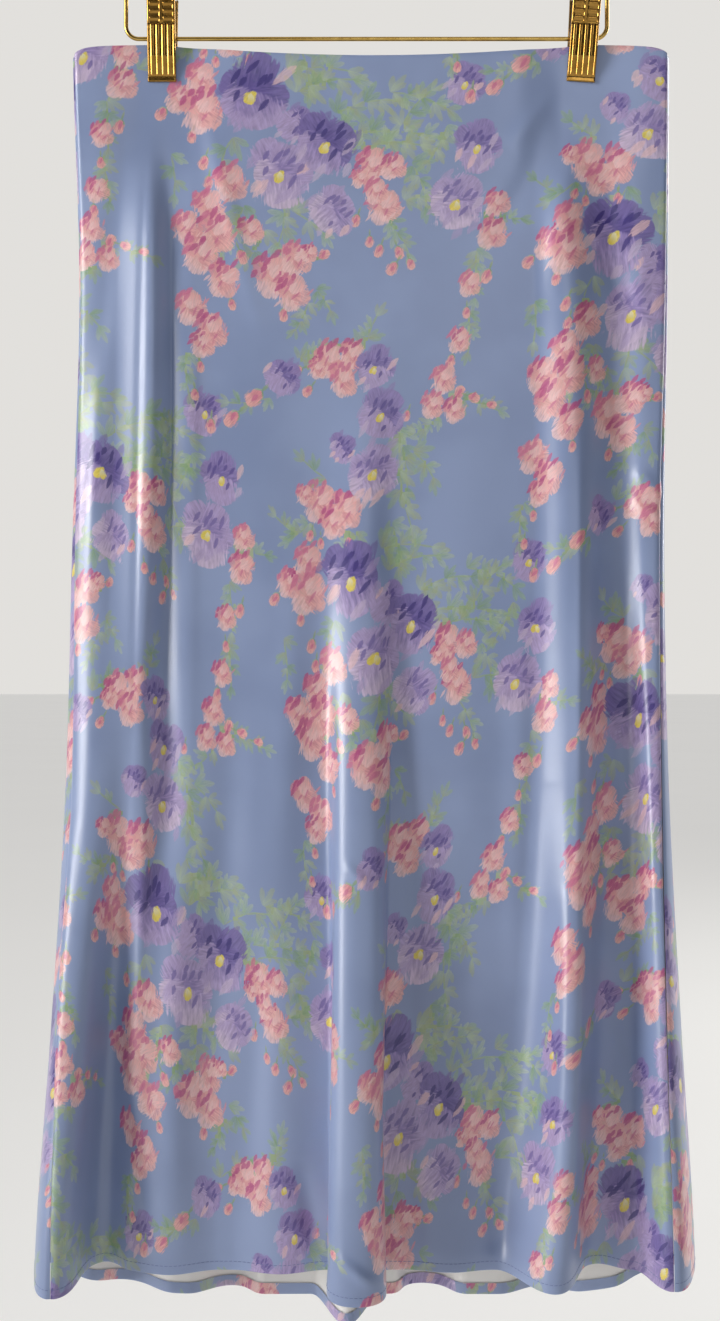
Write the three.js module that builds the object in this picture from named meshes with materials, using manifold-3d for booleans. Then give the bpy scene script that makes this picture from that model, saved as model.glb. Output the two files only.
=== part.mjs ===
import * as THREE from "three";
import { mergeVertices } from "three/addons/utils/BufferGeometryUtils.js";
import Module from "manifold-3d";

// A maxi skirt of printed satin, held flat at the waist by the two clips of a
// wire hanger. X is to the viewer's right, Y away from the viewer, Z up, and
// the origin is under the crown of the hook. All sizes are in millimetres.

// Hanger
const WIRE = 3; // thickness of the frame's wire
const HOOK_WIRE = 3.6;
const HOOK_RADIUS = 20; // inside the crown
const HOOK_ARC = { from: -25, to: 205, steps: 16 }; // degrees, from the viewer's right
const HOOK_BEND = 9; // radius of the two bends between the stem and the arc
const STEM_TOP = 48; // below the crown
const BAR_DROP = 190; // from the crown down to the middle of the bar
const HALF_SPAN = 168.3; // from the middle to the frame's upright sides
const BEND = 9; // radius of the frame's lower corners
const SHOULDER_BEND = 16;
const SHOULDER_DROP = 122; // from the crown to the frame's upper corners
const COLLAR_TOP = 58; // below the crown
const COLLAR_LENGTH = 16;
const COLLAR_RADIUS = 4.4;
const COLLAR_EDGE = 0.8; // the collar's bevel
const WIRE_APART = 2; // each wire's distance from the middle, in the collar
const NECK = { length: 9, bend: 7 }; // where the two wires part under the collar
const GAP = 0.3; // between neighbouring pieces

// Clips
const CLIP_X = { left: -142.8, right: 151.5 };
const CLIP_TILT = { left: 0, right: 3.6 }; // degrees, the top leaning outwards
const JAW_HALF_WIDTH = 9.8;
const JAW_THICKNESS = 1;
const RIBS = 5;
const RIB_HEIGHT = 0.8;
const EAR_THICKNESS = 1;
const EAR_RADIUS = 3.5; // round the bar
const EAR_HOLE = 2.6;
const EAR_SEAT = 8; // from the bar to where the ear joins the plate
const EAR_RISE = 4; // how much taller the ear is at the plate
const EAR_INNER = { front: 8.6, back: 7.3 }; // from the clip's middle to the ear
const SPRING = { inner: 1.9, outer: 2.9, half: 6.6 };

// Cloth
const THICKNESS = 1.2;
const HEM_THICKNESS = 2.2; // the turned-up hem is two layers
const HEM_TURN = 8; // height of the turned-up hem
const SEAM_GAP = 0.3;
const CLIP_HALF = 1.5; // half of the cloth's thickness, front and back, in a clip
const FLAT_REACH = { full: 14, none: 48 }; // sideways from a clip's middle
const FLAT_FALL = { full: 42, none: 140 }; // down from the waist edge
const WAIST_DROP = 4.5; // the waist edge in a clip, below the bar's middle
const WAIST_CORNER = { reach: 14, drop: 5.5 }; // rounding of the waist edge at the sides
const FULLNESS = 0.8; // below 1, a swell or a sag is flatter in its middle

// Every row of six numbers is read at 0, 20, 40, 60, 80 and 100 % of the way
// from the waist edge down to the hem.
const OUTLINE = {
  left: [205.4, 200.9, 205.8, 210.4, 220.2, 231.4], // half width, viewer's left
  right: [211.8, 210.7, 208.3, 211.3, 219.8, 229.6],
  edge: [3.2, 5, 8, 11, 14, 16], // roundness of the side edges
  seamLeft: [0.6, 1.5, 3.5, 6.6, 10.5, 17.5], // side seam, in from the edge
  seamRight: [0.6, 1.4, 3.5, 7, 14, 20],
};

// A fold stands out of its panel by rise at place x, and is half wide on each
// side of it. Bulge widens its head past its neck, and lean tips it sideways.
// A rise below zero is a valley.
const FRONT = {
  side: -1,
  swell: [5, 12, 15, 17, 18, 16],
  waistSag: 8.4, // the waist edge's lowest point, below the edge in the clips
  wingSag: 3.5,
  hem: 1046, // below the crown of the hook
  hemFollow: 0.17, // how much lower the hem hangs where a fold stands out
  folds: [
    { name: "left clip fold", x: [-154, -154, -156, -165, -178, -190],
      half: [16, 20, 22, 24, 24, 24], rise: [0, 9, 10, 7, 0, 0], bulge: 0, lean: 5 },
    { name: "left clip valley", x: [-137, -136, -138, -142, -150, -160],
      half: [16, 18, 20, 22, 24, 24], rise: [0, -4, -5, -4, 0, 0], bulge: 0, lean: 0 },
    { name: "left edge fold", x: [-190, -190, -190, -190, -203, -214],
      half: [26, 26, 26, 26, 27, 25], rise: [0, 0, 3, 10, 24, 38], bulge: 0.16, lean: 2 },
    { name: "left edge valley", x: [-170, -170, -170, -172, -176, -181],
      half: [20, 20, 20, 20, 20, 19], rise: [0, 0, 0, -2, -8, -11], bulge: 0, lean: 0 },
    { name: "left middle swell", x: [-128, -128, -128, -130, -134, -136],
      half: [30, 30, 30, 32, 34, 34], rise: [0, 0, 0, 1, 4, 7], bulge: 0, lean: 0 },
    { name: "left inner swell", x: [-70, -70, -68, -64, -62, -60],
      half: [34, 34, 34, 34, 34, 34], rise: [0, 0, 1, 2, 4, 6], bulge: 0, lean: 0 },
    { name: "middle tube", x: [-7, -7, -7, -7, -6.7, -6.9],
      half: [30, 30, 28, 24, 20, 19], rise: [0, 0, 3, 14, 34, 48], bulge: 0.42, lean: 0 },
    { name: "right inner swell", x: [70, 70, 68, 64, 60, 58],
      half: [34, 34, 34, 34, 34, 30], rise: [0, 0, 1, 1, 2, 4], bulge: 0, lean: 0 },
    { name: "right clip fold", x: [136, 139, 141, 139, 133, 122],
      half: [20, 24, 26, 28, 31, 33], rise: [0, 7, 9, 12, 20, 32], bulge: 0.08, lean: 5 },
    { name: "right clip valley", x: [163, 174, 171, 173, 171, 161],
      half: [16, 20, 22, 24, 25, 22], rise: [0, -5, -6, -6, -7, -8], bulge: 0, lean: 0 },
    { name: "right edge fold", x: [196, 196, 196, 199, 205, 210],
      half: [24, 24, 24, 24, 26, 27], rise: [0, 0, 2, 8, 18, 29], bulge: 0.1, lean: -2 },
  ],
};
const BACK = {
  side: 1,
  swell: [6, 14, 18, 20, 22, 24],
  waistSag: 5.4,
  wingSag: 3,
  hem: 1077,
  hemFollow: 0.1,
  folds: [
    { name: "back left clip fold", x: [-150, -152, -156, -160, -164, -168],
      half: [18, 24, 28, 30, 32, 32], rise: [0, 6, 9, 12, 18, 26], bulge: 0.08, lean: -4 },
    { name: "back left fold", x: [-70, -75, -82, -90, -96, -100],
      half: [30, 32, 32, 32, 30, 28], rise: [0, 0, 4, 9, 16, 24], bulge: 0.1, lean: 3 },
    { name: "back middle valley", x: [-14, -14, -14, -14, -14, -14],
      half: [26, 26, 26, 26, 26, 24], rise: [0, 0, 0, -4, -12, -22], bulge: 0, lean: 0 },
    { name: "back right fold", x: [60, 58, 54, 50, 46, 44],
      half: [30, 30, 30, 30, 29, 28], rise: [0, 0, 5, 10, 20, 30], bulge: 0.2, lean: -3 },
    { name: "back right clip fold", x: [154, 151, 146, 140, 132, 124],
      half: [18, 24, 28, 30, 30, 30], rise: [0, 7, 9, 12, 16, 22], bulge: 0.05, lean: 3 },
    { name: "back right edge fold", x: [190, 190, 190, 190, 194, 198],
      half: [24, 24, 24, 24, 24, 24], rise: [0, 0, 0, 4, 10, 16], bulge: 0, lean: 0 },
  ],
};
const DROPPED_FOLD = { x: -14, half: 26, drop: 16 }; // the back hem's lowest point
const PANEL_ROWS = [0, 0.013, 0.03, 0.05, 0.085, 0.13, 0.19, 0.26, 0.34, 0.42, 0.5,
  0.58, 0.66, 0.74, 0.82, 0.9];
const RING_STEPS = 260; // samples across one panel when a ring is measured

// Each panel is one piece of cloth. Its solid is made of upright strips that
// part at these places, so that each strip is a simple shape. They are listed
// from the side seam where the panel starts. A halved strip parts at the hips.
const FRONT_STRIPS = [
  { name: "front_panel_left", columns: 12, to: -160 },
  { name: "front_panel_middle", columns: 36, to: 140 },
  { name: "front_panel_right", columns: 10 },
];
const BACK_STRIPS = [
  { name: "back_panel_right_edge", columns: 8, to: 190 },
  { name: "back_panel_right_side", columns: 4, to: 140 },
  { name: "back_panel_right", columns: 11, to: 14, halved: true },
  { name: "back_panel_middle", columns: 6, to: -42 },
  { name: "back_panel_left", columns: 10, to: -160, halved: true },
  { name: "back_panel_left_side", columns: 3, to: -190 },
  { name: "back_panel_left_edge", columns: 7 },
];
const HIPS = 0.215; // share of the length

const satin = new THREE.MeshStandardMaterial({
  color: 0x9caad2, roughness: 0.38, metalness: 0, side: THREE.DoubleSide,
});
const gold = new THREE.MeshStandardMaterial({ color: 0xc9a24e, roughness: 0.22, metalness: 1 });

const wasm = await Module();
wasm.setup();

const clamp = (value, low, high) => Math.min(Math.max(value, low), high);
const radians = (degrees) => (degrees * Math.PI) / 180;

// 1 up to full, 0 from none on, and a smooth slope between them.
function fade(distance, { full, none }) {
  const share = clamp((none - distance) / (none - full), 0, 1);
  return share * share * (3 - 2 * share);
}

// A smooth curve through the six values of a row, at the share v of the length.
function along(row, v) {
  const last = row.length - 1;
  const place = clamp(v, 0, 1) * last;
  const i = Math.min(Math.floor(place), last - 1);
  const t = place - i;
  const [a, b, c, d] = [i - 1, i, i + 1, i + 2].map((n) => row[clamp(n, 0, last)]);
  const bend = (2 * a - 5 * b + 4 * c - d) * t * t + (3 * b - a - 3 * c + d) * t * t * t;
  return b + ((c - a) * t + bend) / 2;
}

const halfWidth = (x, v) => along(x < 0 ? OUTLINE.left : OUTLINE.right, v);

// How far the panel is pressed flat by the nearest clip: 1 in its jaws.
function pressed(x, v) {
  const fall = fade(v * (FRONT.hem - BAR_DROP), FLAT_FALL);
  const reach = Object.values(CLIP_X).map((clip) => fade(Math.abs(x - clip), FLAT_REACH));
  return fall * Math.max(...reach);
}

// The outer face of a panel at place x across the skirt: its true x and y.
function section(panel, x, v) {
  const half = halfWidth(x, v);
  const edge = along(OUTLINE.edge, v);
  const middle = 1 - Math.min((x / half) ** 2, 1);
  let depth = edge + (along(panel.swell, v) - edge) * middle ** FULLNESS;
  let shift = 0;
  for (const fold of panel.folds) {
    const q = (x - along(fold.x, v)) / along(fold.half, v);
    if (Math.abs(q) >= 1) continue;
    const bump = Math.cos((Math.PI * q) / 2) ** 2;
    const rise = along(fold.rise, v);
    depth += rise * bump;
    shift += rise * fold.bulge * Math.sin(Math.PI * q) * bump;
    shift += fold.lean * (rise / Math.max(...fold.rise.map(Math.abs))) * bump;
  }
  const press = pressed(x, v);
  depth = Math.max(depth, CLIP_HALF) * (1 - press) + CLIP_HALF * press;
  shift *= 1 - press;
  const past = clamp((Math.abs(x) - (half - edge)) / edge, 0, 1);
  const round = Math.sqrt(1 - past * past);
  return [x + shift * round, panel.side * depth * round];
}

// Heights of a panel's waist edge and hem at place x.
function waistHeight(panel, x) {
  const { left, right } = CLIP_X;
  let sag = 0;
  if (x > left && x < right) {
    sag = panel.waistSag * Math.sin((Math.PI * (x - left)) / (right - left)) ** FULLNESS;
  } else {
    const clip = x < 0 ? left : right;
    const wing = Math.abs(x - clip) / (halfWidth(x, 0) - Math.abs(clip));
    const { reach, drop } = WAIST_CORNER;
    const corner = clamp((Math.abs(x) - halfWidth(x, 0) + reach) / reach, 0, 1);
    sag = panel.wingSag * Math.min(wing, 1) ** 2 + drop * (1 - Math.sqrt(1 - corner ** 2));
  }
  return -BAR_DROP - WAIST_DROP - sag;
}

function hemHeight(panel, x) {
  let rise = 0;
  for (const fold of panel.folds) {
    const q = (x - fold.x[5]) / fold.half[5];
    if (Math.abs(q) < 1) rise += fold.rise[5] * Math.cos((Math.PI * q) / 2) ** 2;
  }
  let drop = panel.hem + panel.hemFollow * rise;
  if (panel === BACK) {
    const q = clamp((x - DROPPED_FOLD.x) / DROPPED_FOLD.half, -1, 1);
    drop += DROPPED_FOLD.drop * Math.cos((Math.PI * q) / 2) ** 2;
    const edgeShare = Math.min(Math.abs(x) / halfWidth(x, 1), 1);
    drop += (FRONT.hem - BACK.hem) * edgeShare ** 6; // meets the front at the sides
  }
  return -drop;
}

// One ring round the skirt, from the left edge along the front to the right
// edge and back along the back, with its running length.
function ring(v) {
  const points = [];
  for (const panel of [FRONT, BACK]) {
    for (let i = 0; i <= RING_STEPS; i += 1) {
      const share = (2 * i) / RING_STEPS - 1;
      const place = Math.sin((Math.PI * share) / 2) * -panel.side;
      const x = place * halfWidth(place, v);
      const [px, py] = section(panel, x, v);
      const top = waistHeight(panel, x);
      const z = top + (hemHeight(panel, x) - top) * v;
      points.push({ place: x, panel, x: px, y: py, z });
    }
  }
  let length = 0;
  points.forEach((point, i) => {
    if (i > 0) length += Math.hypot(point.x - points[i - 1].x, point.y - points[i - 1].y);
    point.length = length;
  });
  return points;
}

// The point of a ring at a running length. Past the ring's end it starts again.
function pointAt(points, length) {
  const total = points[points.length - 1].length;
  const wanted = ((length % total) + total) % total;
  let low = 0;
  let high = points.length - 1;
  while (high - low > 1) {
    const middle = Math.floor((low + high) / 2);
    if (points[middle].length <= wanted) low = middle;
    else high = middle;
  }
  const [a, b] = [points[low], points[high]];
  const t = (wanted - a.length) / Math.max(b.length - a.length, 1e-9);
  return new THREE.Vector3(a.x + (b.x - a.x) * t, a.y + (b.y - a.y) * t, a.z + (b.z - a.z) * t);
}

// The running length at which a panel passes place x.
function lengthAtPlace(points, panel, x) {
  const i = points.findIndex((point) => point.panel === panel
    && (panel === FRONT ? point.place >= x : point.place <= x));
  const [a, b] = [points[Math.max(i - 1, 0)], points[i]];
  const t = b.place === a.place ? 0 : (x - a.place) / (b.place - a.place);
  return a.length + (b.length - a.length) * t;
}

// A closed body from a grid of outer points and the same grid of inner points.
// Rows run down, columns run so that the outer face is on the left-hand side.
function wall(outer, inner) {
  const rows = outer.length;
  const columns = outer[0].length;
  const positions = [...outer.flat(), ...inner.flat()].flatMap((p) => [p.x, p.y, p.z]);
  const index = [];
  const at = (layer, row, column) => (layer * rows + row) * columns + column;
  const quad = (a, b, c, d) => index.push(a, b, c, a, c, d);
  for (let r = 0; r < rows - 1; r += 1) {
    for (let c = 0; c < columns - 1; c += 1) {
      quad(at(0, r, c), at(0, r + 1, c), at(0, r + 1, c + 1), at(0, r, c + 1));
      quad(at(1, r, c), at(1, r, c + 1), at(1, r + 1, c + 1), at(1, r + 1, c));
    }
    const end = columns - 1;
    quad(at(0, r, 0), at(1, r, 0), at(1, r + 1, 0), at(0, r + 1, 0));
    quad(at(0, r, end), at(0, r + 1, end), at(1, r + 1, end), at(1, r, end));
  }
  for (let c = 0; c < columns - 1; c += 1) {
    const low = rows - 1;
    quad(at(0, 0, c), at(0, 0, c + 1), at(1, 0, c + 1), at(1, 0, c));
    quad(at(0, low, c), at(1, low, c), at(1, low, c + 1), at(0, low, c + 1));
  }
  const geometry = new THREE.BufferGeometry();
  geometry.setAttribute("position", new THREE.Float32BufferAttribute(positions, 3));
  geometry.setIndex(index);
  return geometry;
}

// Rows of a panel: its share v of the length, and the wall's thickness there.
// The wall steps inwards at the top of the turned-up hem.
function panelRows(panel) {
  const length = panel.hem - BAR_DROP;
  const turn = 1 - HEM_TURN / length;
  const plain = [...PANEL_ROWS, turn - 0.6 / length].map((v) => ({ v, thickness: THICKNESS }));
  return [...plain, { v: turn, thickness: HEM_THICKNESS }, { v: 1, thickness: HEM_THICKNESS }];
}

// The rows of a whole strip, or of its upper or lower half.
function stripRows(panel, half) {
  const rows = panelRows(panel);
  const gap = SEAM_GAP / 2 / (panel.hem - BAR_DROP);
  const upper = { v: HIPS - gap, thickness: THICKNESS };
  const lower = { v: HIPS + gap, thickness: THICKNESS };
  if (half === "upper") return [...rows.filter(({ v }) => v < upper.v), upper];
  if (half === "lower") return [lower, ...rows.filter(({ v }) => v > lower.v)];
  return rows;
}

// Where the strips of a panel part, as running lengths from seam to seam.
function stripEnds(panel, strips, points, v) {
  const total = points[points.length - 1].length;
  const left = lengthAtPlace(points, FRONT, along(OUTLINE.seamLeft, v) - along(OUTLINE.left, v));
  const right = lengthAtPlace(
    points, FRONT, along(OUTLINE.right, v) - along(OUTLINE.seamRight, v));
  const cuts = strips.slice(0, -1).map(({ to }) => lengthAtPlace(points, panel, to));
  return panel === FRONT ? [left, ...cuts, right] : [right, ...cuts, total + left];
}

// One strip of a panel, or half of it, as a wall of cloth.
function stripGeometry(panel, strips, which, half) {
  const { columns } = strips[which];
  const outer = [];
  const inner = [];
  for (const { v, thickness } of stripRows(panel, half)) {
    const points = ring(v);
    const [start, end] = stripEnds(panel, strips, points, v).slice(which, which + 2);
    const from = start + SEAM_GAP / 2;
    const step = (end - start - SEAM_GAP) / columns;
    const outerRow = [];
    const innerRow = [];
    for (let c = 0; c <= columns; c += 1) {
      const length = from + step * c;
      const point = pointAt(points, length);
      const ahead = pointAt(points, length + 0.8).sub(pointAt(points, length - 0.8));
      const inward = new THREE.Vector3(-ahead.y, ahead.x, 0).normalize();
      outerRow.push(point);
      innerRow.push(point.clone().addScaledVector(inward, thickness));
    }
    outer.push(outerRow);
    inner.push(innerRow);
  }
  return wall(outer, inner);
}

// A bent wire: straight runs between corners, and a round bend at each corner.
class Wire extends THREE.Curve {
  constructor(corners, arcSteps = 5) {
    super();
    this.points = [];
    corners.forEach(({ x, z, bend = 0 }, i) => {
      const corner = new THREE.Vector3(x, 0, z);
      if (!bend) return this.points.push(corner);
      const before = new THREE.Vector3(corners[i - 1].x, 0, corners[i - 1].z).sub(corner);
      const after = new THREE.Vector3(corners[i + 1].x, 0, corners[i + 1].z).sub(corner);
      const half = before.angleTo(after) / 2;
      const reach = bend / Math.tan(half);
      const start = corner.clone().addScaledVector(before.normalize(), reach);
      const end = corner.clone().addScaledVector(after.normalize(), reach);
      const middle = corner.clone().addScaledVector(
        before.clone().add(after).normalize(), bend / Math.sin(half));
      for (let s = 0; s <= arcSteps; s += 1) {
        const [a, b] = [start.clone().sub(middle), end.clone().sub(middle)];
        const turn = a.angleTo(b);
        const t = s / arcSteps;
        const arm = a.multiplyScalar(Math.sin((1 - t) * turn) / Math.sin(turn))
          .addScaledVector(b, Math.sin(t * turn) / Math.sin(turn));
        this.points.push(middle.clone().add(arm));
      }
    });
    this.steps = this.points.length - 1;
  }

  // Steps fall on the wire's own points, so that straight runs stay whole.
  getUtoTmapping(u) {
    return u;
  }

  getPoint(t) {
    const place = clamp(t, 0, 1) * this.steps;
    const i = Math.min(Math.floor(place), this.steps - 1);
    return this.points[i].clone().lerp(this.points[i + 1], place - i);
  }

  getTangent(t) {
    const i = clamp(Math.round(clamp(t, 0, 1) * this.steps), 0, this.steps);
    const near = [i - 1, i].filter((n) => n >= 0 && n < this.steps);
    const sum = new THREE.Vector3();
    near.forEach((n) => sum.add(this.points[n + 1].clone().sub(this.points[n]).normalize()));
    return sum.normalize();
  }
}

function wireGeometry(corners, thickness) {
  const round = new THREE.Shape();
  round.absarc(0, 0, thickness / 2, 0, 2 * Math.PI);
  const path = new Wire(corners);
  return new THREE.ExtrudeGeometry(round, {
    steps: path.steps, extrudePath: path, bevelEnabled: false, curveSegments: 4,
  });
}

// The frame is one wire, from the collar round the bar and back to the collar.
function frameGeometry() {
  const start = -COLLAR_TOP - COLLAR_LENGTH - GAP;
  const half = [
    { x: -WIRE_APART, z: start },
    { x: -WIRE_APART, z: start - NECK.length, bend: NECK.bend },
    { x: -HALF_SPAN, z: -SHOULDER_DROP, bend: SHOULDER_BEND },
    { x: -HALF_SPAN, z: -BAR_DROP, bend: BEND },
  ];
  const other = half.map((corner) => ({ ...corner, x: -corner.x })).reverse();
  return wireGeometry([...half, ...other], WIRE);
}

// The hook: a stem, a short bend to the right, and the crown over to the left.
function hookGeometry() {
  const radius = HOOK_RADIUS + HOOK_WIRE / 2;
  const corners = [
    { x: 0, z: -COLLAR_TOP + GAP },
    { x: 0, z: -STEM_TOP, bend: HOOK_BEND },
    { x: radius * 0.66, z: -HOOK_RADIUS - radius * 0.9, bend: HOOK_BEND },
  ];
  const { from, to, steps } = HOOK_ARC;
  for (let step = 0; step <= steps; step += 1) {
    const turn = radians(from + ((to - from) * step) / steps);
    corners.push({ x: radius * Math.cos(turn), z: -HOOK_RADIUS + radius * Math.sin(turn) });
  }
  return wireGeometry(corners, HOOK_WIRE);
}

function collarGeometry() {
  const [low, high, edge] = [-COLLAR_TOP - COLLAR_LENGTH, -COLLAR_TOP, COLLAR_EDGE];
  const profile = [[0, low], [COLLAR_RADIUS - edge, low], [COLLAR_RADIUS, low + edge],
    [COLLAR_RADIUS, high - edge], [COLLAR_RADIUS - edge, high], [0, high]];
  const geometry = new THREE.LatheGeometry(profile.map(([r, h]) => new THREE.Vector2(r, h)), 16);
  return geometry.rotateX(Math.PI / 2);
}

// A jaw's plate, from the lip that grips the cloth up to the finger grip.
// Height is above the bar, and gap is from the clip's middle to the plate.
const JAW = [
  { height: -30.8, gap: 1.8, form: "lip" },
  { height: -27.6, gap: 1.8, form: "lip" },
  { height: -27.2, gap: 1.9, form: "ribs" },
  { height: -14, gap: 5.6, form: "ribs" },
  { height: 0, gap: 7.4, form: "ribs" },
  { height: 7.6, gap: 8, form: "ribs" },
  { height: 8.6, gap: 8.1, form: "groove" },
  { height: 11.2, gap: 8.5, form: "bars" },
  { height: 13.6, gap: 8.9, form: "groove" },
  { height: 16.1, gap: 9.3, form: "bars" },
  { height: 18.5, gap: 9.7, form: "groove" },
  { height: 21, gap: 10.1, form: "bars" },
  { height: 23.4, gap: 10.5, form: "groove" },
  { height: 25.9, gap: 10.9, form: "bars" },
  { height: 28.3, gap: 11.3, form: "groove" },
  { height: 29.6, gap: 11.5, form: "lip" },
  { height: 31.2, gap: 11.8, form: "lip" },
];

// How far the plate stands out at one of its columns: ribs run up and down
// below the bar, and two rows of short bars cross it above.
function relief(form, column) {
  const columns = 2 * RIBS;
  if (form === "lip") return RIB_HEIGHT;
  if (form === "groove" || column === 0 || column === columns) return 0;
  if (form === "bars") return column === RIBS ? 0 : RIB_HEIGHT;
  return column % 2 ? RIB_HEIGHT : 0;
}

function jawPlate(side) {
  const grids = [[], []];
  for (const { height, gap, form } of JAW) {
    const rows = [[], []];
    for (let c = 0; c <= 2 * RIBS; c += 1) {
      const x = -side * JAW_HALF_WIDTH * (c / RIBS - 1);
      const face = gap + JAW_THICKNESS + relief(form, c);
      rows[0].push(new THREE.Vector3(x, side * face, height));
      rows[1].push(new THREE.Vector3(x, side * gap, height));
    }
    grids[0].unshift(rows[0]);
    grids[1].unshift(rows[1]);
  }
  return wall(grids[0], grids[1]);
}

// An ear: a tongue from the plate's edge, round the bar, with a hole for it.
function ear(side, inner) {
  const shape = new THREE.Shape();
  shape.moveTo(-EAR_SEAT, -EAR_RADIUS);
  shape.lineTo(0, -EAR_RADIUS);
  shape.absarc(0, 0, EAR_RADIUS, -Math.PI / 2, Math.PI / 2);
  shape.lineTo(-EAR_SEAT, EAR_RADIUS + EAR_RISE);
  const hole = new THREE.Path();
  hole.absarc(0, 0, EAR_HOLE, 0, 2 * Math.PI, true);
  shape.holes.push(hole);
  const geometry = new THREE.ExtrudeGeometry(shape, {
    depth: EAR_THICKNESS, bevelEnabled: false, curveSegments: 7,
  });
  // The shape's x and y become depth and height, and its depth runs across.
  geometry.applyMatrix4(new THREE.Matrix4().makeBasis(
    new THREE.Vector3(0, 1, 0), new THREE.Vector3(0, 0, 1), new THREE.Vector3(1, 0, 0)));
  if (side > 0) geometry.rotateZ(Math.PI);
  const start = side > 0 ? inner + EAR_THICKNESS : inner;
  return [geometry.clone().translate(start, 0, 0),
    geometry.translate(side > 0 ? -inner : -inner - EAR_THICKNESS, 0, 0)];
}

function toSolid(geometry) {
  const bare = geometry.clone();
  bare.deleteAttribute("normal");
  bare.deleteAttribute("uv");
  const merged = mergeVertices(bare, 1e-4);
  return new wasm.Manifold(new wasm.Mesh({
    numProp: 3,
    vertProperties: new Float32Array(merged.attributes.position.array),
    triVerts: new Uint32Array(merged.index.array),
  }));
}

function toGeometry(solid) {
  const { vertProperties, triVerts } = solid.getMesh();
  const geometry = new THREE.BufferGeometry();
  geometry.setAttribute("position", new THREE.Float32BufferAttribute(vertProperties, 3));
  geometry.setIndex(new THREE.Uint32BufferAttribute(triVerts, 1));
  return geometry;
}

// The front jaw's ears lie outside the back jaw's.
function jawGeometry(side) {
  const inner = side < 0 ? EAR_INNER.front : EAR_INNER.back;
  const ears = ear(side, inner).map(toSolid);
  return toGeometry(toSolid(jawPlate(side)).add(ears[0]).add(ears[1]));
}

// The spring's coils, as one sleeve round the bar.
function springGeometry() {
  const { inner, outer, half } = SPRING;
  const profile = [[inner, -half], [outer, -half], [outer, half], [inner, half], [inner, -half]];
  const geometry = new THREE.LatheGeometry(profile.map(([r, h]) => new THREE.Vector2(r, h)), 14);
  return geometry.rotateZ(Math.PI / 2);
}

const skirt = new THREE.Group();

function addPiece(name, geometry, material, parent = skirt) {
  const mesh = new THREE.Mesh(geometry, material);
  mesh.name = name;
  parent.add(mesh);
  return mesh;
}

for (const [panel, strips] of [[FRONT, FRONT_STRIPS], [BACK, BACK_STRIPS]]) {
  strips.forEach(({ name, halved }, i) => {
    if (!halved) return addPiece(name, stripGeometry(panel, strips, i), satin);
    for (const half of ["upper", "lower"]) {
      addPiece(`${name}_${half}`, stripGeometry(panel, strips, i, half), satin);
    }
  });
}
addPiece("hanger_frame", frameGeometry(), gold);
addPiece("hanger_collar", collarGeometry(), gold);
addPiece("hanger_hook", hookGeometry(), gold);

for (const side of ["left", "right"]) {
  const clip = new THREE.Group();
  clip.position.set(CLIP_X[side], 0, -BAR_DROP);
  const tilted = new THREE.Group();
  tilted.rotation.y = radians(CLIP_TILT[side]);
  addPiece(`clip_${side}_front_jaw`, jawGeometry(-1), gold, tilted);
  addPiece(`clip_${side}_back_jaw`, jawGeometry(1), gold, tilted);
  addPiece(`clip_${side}_spring`, springGeometry(), gold, clip);
  clip.add(tilted);
  skirt.add(clip);
}

export default skirt;
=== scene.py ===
# %% [markdown]
# A long satin skirt hangs from the two clips of a wire hanger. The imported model
# gives every piece its place and size, and this lesson dresses it: cloth with a
# painted print, polished brass wire and pressed clips. All lengths that come from
# the garment are in millimetres, and MM turns them into Blender's metres.

# %% Frame
import itertools
import math

import bpy
import numpy as np
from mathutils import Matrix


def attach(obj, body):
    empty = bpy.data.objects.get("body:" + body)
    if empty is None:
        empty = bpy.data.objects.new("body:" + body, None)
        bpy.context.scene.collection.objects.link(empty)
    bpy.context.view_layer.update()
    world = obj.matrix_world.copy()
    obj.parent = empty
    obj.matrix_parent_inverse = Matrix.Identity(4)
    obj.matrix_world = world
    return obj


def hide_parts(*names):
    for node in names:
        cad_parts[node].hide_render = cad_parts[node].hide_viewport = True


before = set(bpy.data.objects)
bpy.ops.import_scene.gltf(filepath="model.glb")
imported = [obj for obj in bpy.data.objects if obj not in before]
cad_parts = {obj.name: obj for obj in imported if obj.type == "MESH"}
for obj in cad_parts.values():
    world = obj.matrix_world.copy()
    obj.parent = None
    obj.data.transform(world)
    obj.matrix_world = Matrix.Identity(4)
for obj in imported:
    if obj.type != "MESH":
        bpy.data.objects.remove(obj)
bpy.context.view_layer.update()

MM = 0.001

# %% [markdown]
# The photograph looks straight at the front, from about 1.2 m. A picture pixel is
# 0.7 mm at the clips, so the picture's middle gives the camera its place, and the
# picture's height gives the lens. Level cameras keep the side seams upright.

# %% Camera
PIXEL = 0.7
PICTURE = (720, 1321)
HANGER_PIXEL = 366.5
BAR_PIXEL = 39
BAR_DROP = 190
CAMERA_AWAY = 1200
SENSOR = 36


def picture_place(across, down):
    """The place x, z in millimetres that a picture pixel shows, in the plane of the clips."""
    return (across - HANGER_PIXEL) * PIXEL, -BAR_DROP - (down - BAR_PIXEL) * PIXEL


middle_x, middle_z = picture_place(PICTURE[0] / 2, PICTURE[1] / 2)
camera_data = bpy.data.cameras.new("photo_camera")
camera_data.sensor_width = SENSOR
camera_data.lens = SENSOR * CAMERA_AWAY / (PICTURE[1] * PIXEL)
camera = bpy.data.objects.new("photo_camera", camera_data)
camera.location = (middle_x * MM, -CAMERA_AWAY * MM, middle_z * MM)
camera.rotation_euler = (math.radians(90), 0, 0)
bpy.context.scene.collection.objects.link(camera)
bpy.context.scene.camera = camera
bpy.context.scene.view_settings.view_transform = "Standard"
print("lens:", round(camera_data.lens, 1))

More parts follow.
